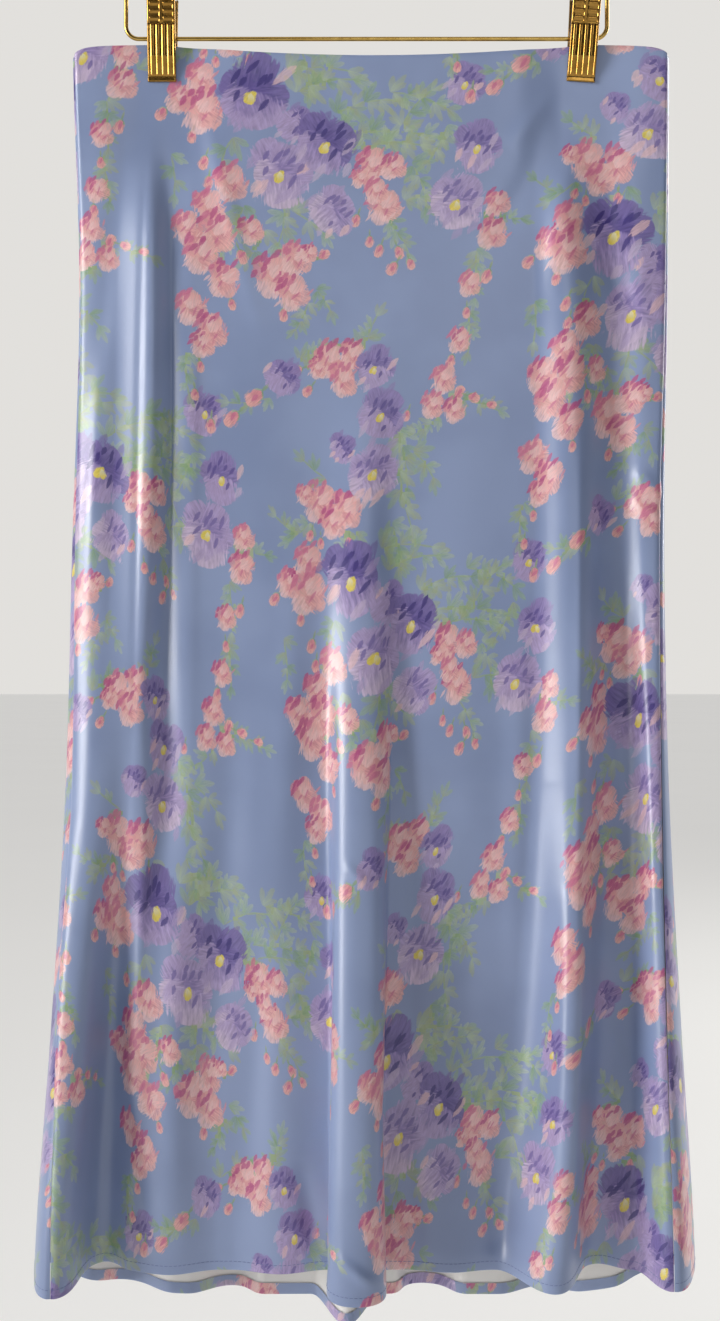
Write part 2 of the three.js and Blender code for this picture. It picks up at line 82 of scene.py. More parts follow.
# %% [markdown]
# Hung cloth keeps one family of folds from waist to hem: each fold starts small,
# often at a clip, and grows as the skirt widens. So the form is a table with a row
# for each fold, and six numbers along the length for its place, half width and
# rise. A rise below zero is a valley. The solids use the same table, and here it is
# read much more finely.

# %% Fold tables
OUTLINE = {
    "left": [205.4, 200.9, 205.8, 210.4, 220.2, 231.4],
    "right": [211.8, 210.7, 208.3, 211.3, 219.8, 229.6],
    "edge": [3.2, 5, 8, 11, 14, 16],
    "seam_left": [0.6, 1.5, 3.5, 6.6, 10.5, 17.5],
    "seam_right": [0.6, 1.4, 3.5, 7, 14, 20],
}
FOLD_COLUMNS = ("place", "half", "rise", "bulge", "lean")
FRONT = {
    "name": "front_panel", "side": -1, "swell": [5, 12, 15, 17, 18, 16],
    "waist_sag": 8.4, "wing_sag": 3.5, "hem": 1046, "hem_follow": 0.17,
    "folds": {
        "left clip fold": ([-154, -154, -156, -165, -178, -190], [16, 20, 22, 24, 24, 24],
                           [0, 9, 10, 7, 0, 0], 0, 5),
        "left clip valley": ([-137, -136, -138, -142, -150, -160], [16, 18, 20, 22, 24, 24],
                             [0, -4, -5, -4, 0, 0], 0, 0),
        "left edge fold": ([-190, -190, -190, -190, -203, -214], [26, 26, 26, 26, 27, 25],
                           [0, 0, 3, 10, 24, 38], 0.16, 2),
        "left edge valley": ([-170, -170, -170, -172, -176, -181], [20, 20, 20, 20, 20, 19],
                             [0, 0, 0, -2, -8, -11], 0, 0),
        "left middle swell": ([-128, -128, -128, -130, -134, -136], [30, 30, 30, 32, 34, 34],
                              [0, 0, 0, 1, 4, 7], 0, 0),
        "left inner swell": ([-70, -70, -68, -64, -62, -60], [34, 34, 34, 34, 34, 34],
                             [0, 0, 1, 2, 4, 6], 0, 0),
        "middle tube": ([-7, -7, -7, -7, -6.7, -6.9], [30, 30, 28, 24, 20, 19],
                        [0, 0, 3, 14, 34, 48], 0.42, 0),
        "right inner swell": ([70, 70, 68, 64, 60, 58], [34, 34, 34, 34, 34, 30],
                              [0, 0, 1, 1, 2, 4], 0, 0),
        "right clip fold": ([136, 139, 141, 139, 133, 122], [20, 24, 26, 28, 31, 33],
                            [0, 7, 9, 12, 20, 32], 0.08, 5),
        "right clip valley": ([163, 174, 171, 173, 171, 161], [16, 20, 22, 24, 25, 22],
                              [0, -5, -6, -6, -7, -8], 0, 0),
        "right edge fold": ([196, 196, 196, 199, 205, 210], [24, 24, 24, 24, 26, 27],
                            [0, 0, 2, 8, 18, 29], 0.1, -2),
    },
}
BACK = {
    "name": "back_panel", "side": 1, "swell": [6, 14, 18, 20, 22, 24],
    "waist_sag": 5.4, "wing_sag": 3, "hem": 1077, "hem_follow": 0.1,
    "folds": {
        "left clip fold": ([-150, -152, -156, -160, -164, -168], [18, 24, 28, 30, 32, 32],
                           [0, 6, 9, 12, 18, 26], 0.08, -4),
        "left fold": ([-70, -75, -82, -90, -96, -100], [30, 32, 32, 32, 30, 28],
                      [0, 0, 4, 9, 16, 24], 0.1, 3),
        "middle valley": ([-14, -14, -14, -14, -14, -14], [26, 26, 26, 26, 26, 24],
                          [0, 0, 0, -4, -12, -22], 0, 0),
        "right fold": ([60, 58, 54, 50, 46, 44], [30, 30, 30, 30, 29, 28],
                       [0, 0, 5, 10, 20, 30], 0.2, -3),
        "right clip fold": ([154, 151, 146, 140, 132, 124], [18, 24, 28, 30, 30, 30],
                            [0, 7, 9, 12, 16, 22], 0.05, 3),
        "right edge fold": ([190, 190, 190, 190, 194, 198], [24, 24, 24, 24, 24, 24],
                            [0, 0, 0, 4, 10, 16], 0, 0),
    },
}
DROPPED_FOLD = {"place": -14, "half": 26, "drop": 16}
print("folds in front:", len(FRONT["folds"]), "behind:", len(BACK["folds"]))
print("columns of a fold:", ", ".join(FOLD_COLUMNS))

# %% [markdown]
# A row of six numbers becomes a smooth curve with the Catmull-Rom formula, which
# passes through every number. The clips press both panels flat, and that pressure
# fades with distance. A fade is smooth at both ends, so that no edge shows in the
# cloth.

# %% Reading the tables
CLIP_X = {"left": -142.8, "right": 151.5}
CLIP_HALF = 1.5
FLAT_REACH = (14, 48)
FLAT_FALL = (42, 140)
WAIST_DROP = 4.5


def along(row, v):
    """A smooth curve through the numbers of a row, at the share v of the length."""
    last = len(row) - 1
    place = min(max(v, 0), 1) * last
    i = min(int(place), last - 1)
    t = place - i
    a, b, c, d = (row[min(max(n, 0), last)] for n in (i - 1, i, i + 1, i + 2))
    bend = (2 * a - 5 * b + 4 * c - d) * t * t + (3 * b - a - 3 * c + d) * t ** 3
    return b + ((c - a) * t + bend) / 2


def fade(distance, full, none):
    """1 up to full, 0 from none on, and a smooth slope between them."""
    share = np.clip((none - distance) / (none - full), 0, 1)
    return share * share * (3 - 2 * share)


def half_width(x, v):
    """Half of the skirt's width on the side where x is."""
    return np.where(x < 0, along(OUTLINE["left"], v), along(OUTLINE["right"], v))


def pressed(x, v):
    """How far the nearest clip presses the cloth flat: 1 in its jaws."""
    reach = [fade(np.abs(x - clip), *FLAT_REACH) for clip in CLIP_X.values()]
    return fade(v * (FRONT["hem"] - BAR_DROP), *FLAT_FALL) * np.maximum(*reach)


print("pressed in the left clip:", float(pressed(CLIP_X["left"], 0)))

# %% [markdown]
# Cut level, a panel is one line across the skirt with rounded ends. A fold adds a
# smooth bump to its depth, and it can widen its own head or lean, which is what
# makes the middle fold a tube with sharp edges.

# %% A panel cut level
FULLNESS = 0.8  # below 1, a swell or a sag is flatter in its middle


def bump(q):
    """A fold in cross-section: 1 in its middle, 0 at its two sides and past them."""
    return np.where(np.abs(q) < 1, np.cos(np.pi * q / 2) ** 2, 0)


def section(panel, x, v):
    """The true x and y of a panel's face at the places x across the skirt."""
    half = half_width(x, v)
    edge = along(OUTLINE["edge"], v)
    middle = 1 - np.minimum((x / half) ** 2, 1)
    depth = edge + (along(panel["swell"], v) - edge) * middle ** FULLNESS
    shift = np.zeros_like(x)
    for place, half_fold, rises, bulge, lean in panel["folds"].values():
        q = (x - along(place, v)) / along(half_fold, v)
        rise = along(rises, v)
        depth += rise * bump(q)
        shift += rise * bulge * np.sin(np.pi * q) * bump(q)
        shift += lean * rise / max(abs(r) for r in rises) * bump(q)
    press = pressed(x, v)
    depth = np.maximum(depth, CLIP_HALF) * (1 - press) + CLIP_HALF * press
    past = np.clip((np.abs(x) - (half - edge)) / edge, 0, 1)
    roundness = np.sqrt(1 - past * past)
    return x + shift * (1 - press) * roundness, panel["side"] * depth * roundness


tube_depth = -float(section(FRONT, np.array([-7.0]), 1)[1][0])
print("the middle tube stands out at the hem by", round(tube_depth), "mm")

# %% [markdown]
# The clips hold the waist edge, so it sags between them and droops outside them.
# The hem follows the folds. With both edges known, one ring round the skirt is the
# front line and the back line at one share of the length.

# %% One ring of cloth
RING_STEPS = 900
CORNER_REACH, CORNER_DROP = 14, 5.5  # rounding of the waist edge at the sides
HEMS_MEET = 6  # power: the two hems come together only close to the side seams


def waist_height(panel, x):
    """The waist edge sags between the clips and droops outside them."""
    left, right = CLIP_X["left"], CLIP_X["right"]
    share = np.clip((x - left) / (right - left), 0, 1)
    sag = panel["waist_sag"] * np.sin(np.pi * share) ** FULLNESS
    clip = np.where(x < 0, left, right)
    half = half_width(x, 0)
    wing = np.clip(np.abs(x - clip) / (half - np.abs(clip)), 0, 1)
    corner = np.clip((np.abs(x) - half + CORNER_REACH) / CORNER_REACH, 0, 1)
    droop = panel["wing_sag"] * wing ** 2 + CORNER_DROP * (1 - np.sqrt(1 - corner ** 2))
    outside = (x < left) | (x > right)
    return -BAR_DROP - WAIST_DROP - np.where(outside, droop, sag)


def hem_height(panel, x):
    """A fold that stands out of the hem brings its cloth a little lower."""
    rise = sum(rises[5] * bump((x - place[5]) / half[5])
               for place, half, rises, _, _ in panel["folds"].values())
    drop = panel["hem"] + panel["hem_follow"] * rise
    if panel is BACK:
        q = (x - DROPPED_FOLD["place"]) / DROPPED_FOLD["half"]
        drop = drop + DROPPED_FOLD["drop"] * bump(q)
        edge_share = np.clip(np.abs(x) / half_width(x, 1), 0, 1)
        drop = drop + (FRONT["hem"] - BACK["hem"]) * edge_share ** HEMS_MEET
    return -drop


def ring(v):
    """Columns place, x, y, z and running length, round the skirt from its left edge."""
    parts = []
    for panel in (FRONT, BACK):
        share = np.linspace(-1, 1, RING_STEPS) * -panel["side"]
        place = np.sin(np.pi * share / 2)
        place = place * half_width(place, v)
        x, y = section(panel, place, v)
        top = waist_height(panel, place)
        z = top + (hem_height(panel, place) - top) * v
        parts.append(np.stack([place, x, y, z], axis=1))
    points = np.concatenate(parts)
    steps = np.hypot(np.diff(points[:, 1]), np.diff(points[:, 2]))
    length = np.concatenate([[0], np.cumsum(steps)])
    return np.column_stack([points, length])


print("ring at the hem:", round(ring(1)[-1, 4]), "mm round")

# %% [markdown]
# The folds of the table are the large ones. Satin also shows small creases: soft
# diagonals pulled from the clips and pinches where a fold collapses. Each is a
# short line, given by two picture places, with a width and a depth.

# %% Small creases
CREASES = {
    # from across, down, to across, down in picture pixels, width, depth in millimetres
    "front_panel": [
        (200, 96, 262, 338, 7, 1.7), (182, 250, 196, 520, 8, 1.8),
        (120, 150, 98, 420, 8, -1.8), (104, 330, 92, 640, 7, 2.0),
        (560, 92, 508, 150, 7, 1.8), (556, 120, 492, 250, 9, -1.5),
        (572, 110, 548, 300, 8, 2.2), (600, 250, 640, 330, 7, -1.5),
        (632, 470, 662, 500, 5, 1.7), (628, 500, 660, 522, 4, 1.4),
        (612, 560, 630, 900, 8, -2.1), (520, 640, 510, 1010, 10, 2.1),
        (470, 820, 462, 1180, 12, -2.4), (300, 520, 282, 900, 12, 2.0),
        (236, 700, 214, 1120, 12, -2.4), (180, 860, 172, 1230, 10, 2.7),
        (345, 858, 368, 880, 4, 1.8), (338, 1226, 384, 1264, 4, 2.1),
        (300, 1150, 322, 1262, 7, -2.2), (410, 1060, 432, 1262, 8, 2.4),
        (500, 1110, 494, 1270, 7, -2.7), (128, 1090, 150, 1262, 8, -2.7),
        (76, 820, 60, 1120, 6, 1.5), (147, 104, 137, 760, 2.4, -0.8),
        (173, 180, 182, 780, 11, 4.0), (152, 690, 138, 1120, 11, 3.6),
        (624, 380, 634, 1200, 14, -5.0), (576, 560, 560, 1200, 8, 2.2),
        (440, 760, 452, 1250, 34, -4.0), (516, 780, 520, 1262, 26, -6.0),
        (369, 380, 363, 860, 16, 4.0), (386, 560, 381, 1090, 9, 4.6),
        (408, 600, 412, 1120, 7, -2.4), (567, 880, 558, 1262, 9, 4.2),
        (577, 430, 570, 1080, 3, 1.5), (148, 700, 142, 1050, 3, 1.0),
        (662, 520, 668, 1180, 4, 1.1), (110, 100, 112, 900, 18, 4.8),
        (262, 900, 250, 1200, 12, -2.6),
    ],
    "back_panel": [
        (190, 96, 244, 330, 8, 2.0), (150, 330, 138, 700, 9, -2.1),
        (545, 96, 486, 300, 9, 2.1), (600, 300, 590, 640, 8, -2.0),
        (300, 420, 316, 900, 12, -2.1), (380, 640, 372, 1100, 12, 2.4),
        (500, 760, 516, 1200, 10, -2.4), (230, 900, 250, 1260, 8, 2.7),
        (440, 470, 470, 520, 5, 1.4), (640, 860, 652, 1240, 7, 2.1),
        (168, 150, 180, 800, 10, -3.0), (590, 300, 604, 1100, 12, -3.2),
    ],
}


def crease_depth(panel, x, z):
    """How far the creases push each point out of its panel."""
    out = np.zeros_like(x)
    for across, down, to_across, to_down, width, depth in CREASES[panel["name"]]:
        start = np.array(picture_place(across, down))
        run = np.array(picture_place(to_across, to_down)) - start
        share = ((x - start[0]) * run[0] + (z - start[1]) * run[1]) / (run @ run)
        held = np.clip(share, 0, 1)
        off = np.hypot(x - start[0] - held * run[0], z - start[1] - held * run[1])
        taper = np.sin(np.pi * held) ** 0.7
        out += depth * taper * np.exp(-(off / width) ** 2)
    return out


print("creases:", {name: len(rows) for name, rows in CREASES.items()})

# %% [markdown]
# A panel is one sheet of satin. Its top and bottom edges are turned to the inside,
# as on the real skirt, so a row list follows the cloth: up the inside of the waist,
# over the edge, down the outside, round the hem fold and up the turned-up hem. The
# rows of the outside are even on the flat cloth.

# %% Rows of a panel
HEM_TURN, WAIST_TURN = 8, 7
HEM_TURN_ROWS, WAIST_TURN_ROWS = (0.8, 3, 5.5, HEM_TURN), (WAIST_TURN, 4.5, 2)
FOLD_ROUND = 0.45
ROW_STEP = 2.75
EDGE_STOP = 0.6  # where the face's rows stop, short of its folded edges
HEM_ARC = 1.4  # length of the cloth round the hem's fold
FOLD_ANGLES = (30, 70, 110, 150)
FACE_END = -9  # the last row of the face, above the hem's fold and its turned-up rows


def sheet_rows(panel):
    """Rows of share v, distance inside the face, extra height and running length."""
    length = panel["hem"] - BAR_DROP - WAIST_DROP
    turned = 2 * FOLD_ROUND
    rows = [(turn / length, turned, 0, -turn) for turn in (*WAIST_TURN_ROWS, EDGE_STOP)]
    for angle in reversed(FOLD_ANGLES):
        lift = FOLD_ROUND * math.sin(math.radians(angle))
        inset = FOLD_ROUND * (1 - math.cos(math.radians(angle)))
        rows.append((0, inset, lift - FOLD_ROUND, 0))
    count = int(length / ROW_STEP)
    for i in range(count + 1):
        share = (EDGE_STOP + (length - 2 * EDGE_STOP) * i / count) / length
        rows.append((share, 0, 0, share * length))
    for angle in FOLD_ANGLES:
        drop = FOLD_ROUND * math.sin(math.radians(angle))
        inset = FOLD_ROUND * (1 - math.cos(math.radians(angle)))
        rows.append((1, inset, FOLD_ROUND - drop, length + HEM_ARC * angle / 180))
    for turn in HEM_TURN_ROWS:
        rows.append((1 - turn / length, turned, 0, length + HEM_ARC + turn))
    return rows


print("rows of the front panel:", len(sheet_rows(FRONT)))

# %% [markdown]
# Each row is cut into equal steps along the cloth from seam to seam, so the columns
# follow the cloth round every fold. The cloth dips at the hem's stitch line and
# rolls in at the seams.

# %% Panel grids
SEAM_GAP = 0.3
SEAM_ROLL = 0.7
STITCH_UP, STITCH_DIP = 4.6, 0.35
PANEL_COLUMNS = {"front_panel": 264, "back_panel": 276}
PRINT_MIDDLE = {"front_panel": -7, "back_panel": 14}


def panel_grid(panel):
    """Arrays of rows by columns: points, and the flat cloth's u and v in millimetres."""
    columns = PANEL_COLUMNS[panel["name"]] + 1
    length = panel["hem"] - BAR_DROP - WAIST_DROP
    points, flat_u, flat_v = [], [], []
    for v, inset, lift, down in sheet_rows(panel):
        place, x, y, z, run = ring(v).T
        front = slice(0, RING_STEPS)
        left = along(OUTLINE["seam_left"], v) - along(OUTLINE["left"], v)
        right = along(OUTLINE["right"], v) - along(OUTLINE["seam_right"], v)
        middle = PRINT_MIDDLE[panel["name"]]
        start, end, zero = np.interp([left, right, middle], place[front], run[front])
        if panel is BACK:
            start, end = end, run[-1] + start
            zero = np.interp(middle, place[:RING_STEPS - 1:-1], run[:RING_STEPS - 1:-1])
        wanted = np.linspace(start + SEAM_GAP / 2, end - SEAM_GAP / 2, columns)
        px, py, pz = (np.interp(wanted, run, line, period=run[-1]) for line in (x, y, z))
        ahead = [np.interp(wanted + 0.8, run, line, period=run[-1])
                 - np.interp(wanted - 0.8, run, line, period=run[-1]) for line in (x, y)]
        size = np.hypot(*ahead)
        inward = np.stack([-ahead[1] / size, ahead[0] / size], axis=1)
        from_seam = np.minimum(wanted - wanted[0], wanted[-1] - wanted)
        deep = inset + SEAM_ROLL * np.exp(-(from_seam / 0.9) ** 2)
        from_edge = length - v * length
        deep += STITCH_DIP * math.exp(-((from_edge - STITCH_UP) / 1.1) ** 2) * (inset == 0)
        free = 1 - pressed(px, v)
        calm = free * fade(-from_edge, -20, -4) * fade(-v * length, -14, -2)
        deep = deep - crease_depth(panel, px, pz) * calm
        points.append(np.stack([px + inward[:, 0] * deep, py + inward[:, 1] * deep, pz + lift], 1))
        flat_u.append(wanted - zero)
        flat_v.append(np.full(columns, down))
    return np.array(points), np.array(flat_u), np.array(flat_v)


grids = {panel["name"]: panel_grid(panel) for panel in (FRONT, BACK)}
for name, (points, flat_u, flat_v) in grids.items():
    hem_cut = round(np.ptp(flat_u[FACE_END]))
    print(name, "rows and columns:", points.shape[:2], "hem cut:", hem_cut, "mm")

# %% [markdown]
# The print is a painted repeat of pansies, roses, buds and leaf sprays. An image
# would be the usual way, but a print can also be kept as brush marks. A mark is a
# petal, a leaf or a streak with a foot, a direction, a length, a width and two
# colours. Motifs are small functions that lay down marks on the flat cloth.

# %% Colours of the print


def linear(red, green, blue):
    """A colour as a picture shows it, from 0 to 255, as linear light."""
    values = np.array([red, green, blue]) / 255
    return tuple(np.where(values <= 0.04045, values / 12.92, ((values + 0.055) / 1.055) ** 2.4))


PAINT = {
    "indigo": linear(58, 46, 120), "deep purple": linear(92, 78, 146),
    "purple": linear(118, 104, 164), "violet": linear(142, 126, 180),
    "lilac": linear(172, 154, 196), "pale lilac": linear(198, 180, 206),
    "eye": linear(222, 202, 92), "cream": linear(226, 218, 176),
    "magenta": linear(184, 80, 134), "rose": linear(204, 114, 148),
    "coral": linear(214, 142, 152), "peach": linear(226, 172, 168),
    "pale pink": linear(232, 194, 194), "green": linear(130, 160, 118),
    "leaf": linear(150, 176, 138), "pale leaf": linear(172, 188, 164),
    "olive": linear(160, 170, 132),
}
print("paints:", ", ".join(PAINT))

# %% [markdown]
# A brush mark needs a foot, a turn, a length, a width, two paints and a shape. The
# shape number is the power that bends its outline: small is round, large is slim.

# %% Brush marks
marks = []
painter = np.random.default_rng(11)
ROUND, PETAL, LEAF, STREAK = 0.45, 0.6, 0.95, 0.8
HATCH = 38


def mark(foot, turn, length, width, root, tip, shape=PETAL, strength=1.0):
    """Lays down one mark: foot in print pixels, turn in degrees, 0 upwards, clockwise."""
    angle = math.radians(turn)
    marks.append([foot[0], foot[1], math.sin(angle), -math.cos(angle), length, width,
                  *PAINT[root], strength, *PAINT[tip], shape, painter.uniform(0, 50)])


def beside(point, turn, distance):
    """The place that lies some way from a point, in the direction of a turn."""
    angle = math.radians(turn)
    return point[0] + distance * math.sin(angle), point[1] - distance * math.cos(angle)


def loose(amount):
    return painter.uniform(-amount, amount)


def hatch(centre, reach, length, width, paint, strength=0.8):
    """A slanting dry stroke near a point. Every flower of this print is hatched one way."""
    middle = centre[0] + loose(reach), centre[1] + loose(reach)
    turn = HATCH + loose(14)
    foot = beside(middle, turn, -length / 2)
    mark(foot, turn, length * (1 + loose(0.3)), width, paint, paint, STREAK, strength)


print("a mark's numbers: foot, direction, length, width, root, strength, tip, shape, seed")

# %% [markdown]
# A pansy has two upper petals, two side petals and a broad lower one, with ragged
# edges. The lower petals fade to lilac. Pale and indigo dry strokes cross the whole
# flower, all slanting one way, and the yellow eye comes last, on top of them.

# %% Pansies
PANSY_PETALS = [
    # turn, length, width, whether it is a lower petal
    (-34, 1.1, 1.02, False), (28, 1.14, 1.06, False), (-100, 0.94, 0.86, True),
    (94, 0.98, 0.9, False), (178, 0.98, 1.3, True),
]
PANSY_RIM = (-58, -12, 40, 84, 130, 176, 222, -100)
PANSY_PALE = ("lilac", "pale lilac", "lilac", "pale pink")
PANSY_SLASHES = [
    # turn from the flower's top, distance from its middle
    (-66, 0.4), (-36, 0.6), (-14, 0.42), (14, 0.64), (38, 0.46), (62, 0.6), (140, 0.34),
]
PANSY_LOOKS = {
    # upper root and tip, lower root and tip, slashes
    "dark": ("deep purple", "purple", "violet", "lilac", "indigo"),
    "mid": ("purple", "violet", "lilac", "lilac", "deep purple"),
    "light": ("violet", "lilac", "lilac", "pale lilac", "purple"),
}


def pansy(centre, size, turn, look, eye):
    """Petals first, then pale strokes near the rim, dark slashes and the eye."""
    root, tip, low_root, low_tip, blotch = PANSY_LOOKS[look]
    for petal, length, width, low in PANSY_PETALS:
        way = turn + petal + loose(12)
        foot = beside(centre, way, -0.12 * size)
        paints = (low_root, low_tip) if low else (root, tip)
        mark(foot, way, length * size * (1 + loose(0.14)), width * size, *paints, ROUND, 0.95)
    for side in PANSY_RIM:
        spot = beside(centre, turn + side + loose(16), 0.7 * size)
        paint = tip if abs(side) < 60 else PANSY_PALE[painter.integers(4)]
        hatch(spot, 0.16 * size, 0.66 * size, 0.24 * size, paint, 0.62)
    for side, away in PANSY_SLASHES:
        spot = beside(centre, turn + side + loose(10), away * size)
        hatch(spot, 0.05 * size, 0.42 * size, 0.14 * size, blotch, 0.85)
    if eye:
        mark(beside(centre, HATCH, 0.16 * size), HATCH + 180 + loose(20), 0.4 * size, 0.26 * size,
             "eye", "eye", ROUND)
        mark(beside(centre, turn, 0.1 * size), turn + 180 + loose(20), 0.3 * size, 0.2 * size,
             "cream", "eye")


print("petals of a pansy:", len(PANSY_PETALS), "slashes:", len(PANSY_SLASHES))

# %% [markdown]
# A rose in this print is a loose peach oval under short strokes, all slanting one
# way. They are magenta along its top, and pale where petals turn over. A bud is a drop
# with a darker side and a green cup.

# %% Roses and buds
ROSE_LOBES = [
    # turn, distance, length, root, tip
    (200, 0.38, 1.3, "peach", "pale pink"), (120, 0.4, 1.2, "coral", "peach"),
    (-50, 0.4, 1.15, "peach", "coral"), (30, 0.42, 1.1, "pale pink", "peach"),
]
ROSE_CAP = [
    # turn, distance
    (-74, 0.78), (-46, 0.86), (-20, 0.84), (6, 0.8), (-50, 0.56), (-8, 0.58),
]
ROSE_STROKES = [
    # paint, turn, distance
    ("pale pink", 170, 0.7), ("peach", 120, 0.75), ("pale pink", 225, 0.8), ("rose", 140, 0.25),
    ("coral", 75, 0.8), ("rose", -90, 0.3), ("pale pink", 20, 0.3),
]


def rose(centre, size, turn):
    """A soft oval, four lobes, a dark cap of strokes and pale strokes over all."""
    base = beside(centre, turn, -0.8 * size)
    mark(base, turn + loose(10), 1.6 * size, 1.4 * size, "pale pink", "coral", ROUND, 0.95)
    for side, away, share, root, tip in ROSE_LOBES:
        way = turn + side + loose(16)
        foot = beside(beside(centre, way, away * size), way, -0.5 * share * size)
        mark(foot, way, share * size, 0.85 * share * size, root, tip, PETAL, 0.8)
    capped = painter.random() < 0.7
    for side, away in ROSE_CAP:
        paint = "magenta" if capped and painter.random() < 0.7 else "rose"
        spot = beside(centre, turn + side + loose(10), away * size)
        hatch(spot, 0.1 * size, 0.62 * size, 0.26 * size, paint, 0.8)
    for paint, side, away in ROSE_STROKES:
        spot = beside(centre, turn + side + loose(20), away * size)
        hatch(spot, 0.14 * size, 0.62 * size, 0.13 * size, paint, 0.75)


def bud(centre, size, turn):
    cup = beside(centre, turn + 180, 0.9 * size)
    stalk = beside(cup, turn + 180, 0.9 * size)
    mark(stalk, turn, 1.1 * size, 0.3 * size, "olive", "green", STREAK, 0.8)
    mark(cup, turn - 28, 1.0 * size, 0.4 * size, "green", "leaf", LEAF, 0.9)
    mark(cup, turn + 30, 1.0 * size, 0.4 * size, "leaf", "pale leaf", LEAF, 0.9)
    mark(beside(centre, turn + 180, 0.7 * size), turn, 1.7 * size, 1.25 * size, "coral", "peach", ROUND)
    hatch(centre, 0.1 * size, 1.0 * size, 0.4 * size, "rose", 0.85)


bud((0, 0), 10, 180)
print("marks in a trial bud:", len(marks))

# %% [markdown]
# Leaf sprays fill the space round the flowers. A leaf is three soft strokes from one
# foot, which look feathery at this size. A spray is a thin stem that bends as it
# grows, with leaves that alternate and get smaller.

# %% Leaf sprays
LEAF_TONES = (("leaf", "pale leaf"), ("olive", "leaf"), ("pale leaf", "olive"), ("green", "leaf"))
LEAF_STROKES = ((-30, 0.72), (26, 0.78), (0, 1.0))  # turn, share of the leaf's size


def leaf(foot, turn, size):
    root, tip = LEAF_TONES[painter.integers(len(LEAF_TONES))]
    for side, share in LEAF_STROKES:
        mark(foot, turn + side + loose(10), share * size, 0.27 * size, root, tip, PETAL, 0.58)


def spray(foot, turn, length, size, bend):
    """A stem in short streaks, with one leaf or two at every step and one at its end."""
    grown = 1.5 * size
    steps = max(2, round(length / (0.62 * grown)))
    at, way = foot, turn
    for i in range(steps):
        mark(at, way, 1.25 * length / steps, 2.4, "olive", "leaf", STREAK, 0.75)
        small = grown * (1 - 0.3 * i / steps) * (1 + loose(0.15))
        side = 1 if i % 2 else -1
        leaf(at, way + side * (50 + loose(12)), small)
        if painter.random() < 0.6:
            leaf(beside(at, way, 0.2 * size), way - side * (42 + loose(16)), 0.8 * small)
        at = beside(at, way, length / steps)
        way += bend / steps
    leaf(at, way, 0.85 * grown)


print("leaf tones:", len(LEAF_TONES))

# %% [markdown]
# The repeat is charted as places from its first pansy, in print pixels of
# 0.7 mm. Leaves come first and pansies last, because a later mark covers an
# earlier one.

# %% The repeat
SPRAYS = [
    # across, down, turn, length, leaf size, bend
    (36, -30, 78, 60, 19, 30), (44, -8, 60, 60, 18, 40), (84, 12, 62, 62, 17, 40),
    (138, -10, 96, 60, 17, 30), (86, 32, 84, 100, 19, 20), (100, 50, 70, 70, 18, 40),
    (150, 24, 30, 46, 15, 30), (160, 62, 150, 46, 16, 30), (196, 24, 200, 40, 14, 20),
    (30, 100, 176, 44, 18, 30), (40, 112, 120, 36, 16, 20), (10, 132, 200, 36, 15, 30),
    (-20, 40, 210, 40, 15, -30), (-66, -46, 300, 26, 12, 20), (-10, 108, 200, 50, 15, 20),
    (-84, 60, 170, 40, 13, 20), (62, 190, 140, 26, 13, 20), (54, 204, 200, 30, 12, 20),
    (136, 120, 140, 40, 14, 20), (152, 100, 80, 30, 14, 20), (-76, 260, 190, 40, 12, -20),
    (238, 124, 80, 34, 13, 20), (228, 150, 176, 50, 13, 10), (222, 214, 170, 40, 12, 20),
    (44, 262, 60, 46, 14, 30), (10, 300, 250, 46, 13, 30), (112, 248, 20, 34, 14, 10),
    (206, 300, 96, 56, 13, 20), (196, 318, 230, 40, 12, 30),
    (150, 330, 160, 60, 18, 20), (154, 372, 172, 56, 18, -20),
    (168, 352, 130, 36, 16, 30), (146, 424, 160, 44, 17, 20),
    (70, 380, 300, 30, 14, 20), (50, 424, 230, 30, 13, 20), (104, 428, 200, 34, 15, 20),
]
ROSES = [
    # across, down, size, turn
    (-74, 4, 17, 20), (-52, -18, 19, 0), (-52, 14, 25, 10), (-24, 86, 21, 0),
    (-47, 112, 20, 0), (-70, 134, 19, -10), (-40, 138, 23, 20), (-56, 160, 22, 0), (-34, 184, 20, 30),
    (-4, 134, 15, 0), (-70, 214, 19, -10), (-50, 236, 20, 10), (-60, 250, 15, 0),
    (18, 178, 24, -10), (42, 160, 19, 20), (38, 194, 20, 0), (56, 154, 10, 20),
    (120, 64, 20, -10), (142, 66, 15, 10), (132, 106, 20, 0), (108, 76, 11, 0), (124, 90, 14, 0),
    (248, 106, 15, 0), (244, 136, 18, 20), (222, 186, 14, 0), (213, 242, 14, 0),
    (199, 280, 16, 0), (188, 306, 15, 10), (212, 312, 14, 0),
    (76, 262, 20, 0), (100, 254, 17, 10), (90, 280, 18, 0), (62, 270, 11, 0),
    (62, 404, 22, 0), (92, 408, 21, 12), (76, 424, 17, 0), (44, 396, 11, 0),
]
BUDS = [
    # across, down, size, turn
    (-92, 20, 9, 220), (-62, 40, 8, 190), (-50, 66, 9, 200), (-46, 86, 8, 190),
    (-26, 208, 7, 170), (-14, 160, 9, 160), (28, 216, 8, 185), (70, 156, 8, 60),
    (118, 140, 7, 180), (128, 150, 8, 200), (148, 152, 8, 160), (142, 168, 9, 215), (160, 164, 7, 160),
    (240, 178, 9, 200), (220, 214, 7, 180), (206, 262, 8, 190), (216, 296, 9, 30),
    (232, 300, 8, 110), (252, 308, 7, 100), (160, 316, 7, 200), (-64, 272, 7, 180),
    (-6, 300, 13, 230), (-33, 322, 12, 230), (-58, 330, 9, 190), (-72, 300, 7, 180), (40, 272, 9, 250),
    (52, 292, 8, 220), (50, 436, 7, 200), (96, 440, 8, 180), (62, 444, 7, 180), (104, 118, 8, 200),
]
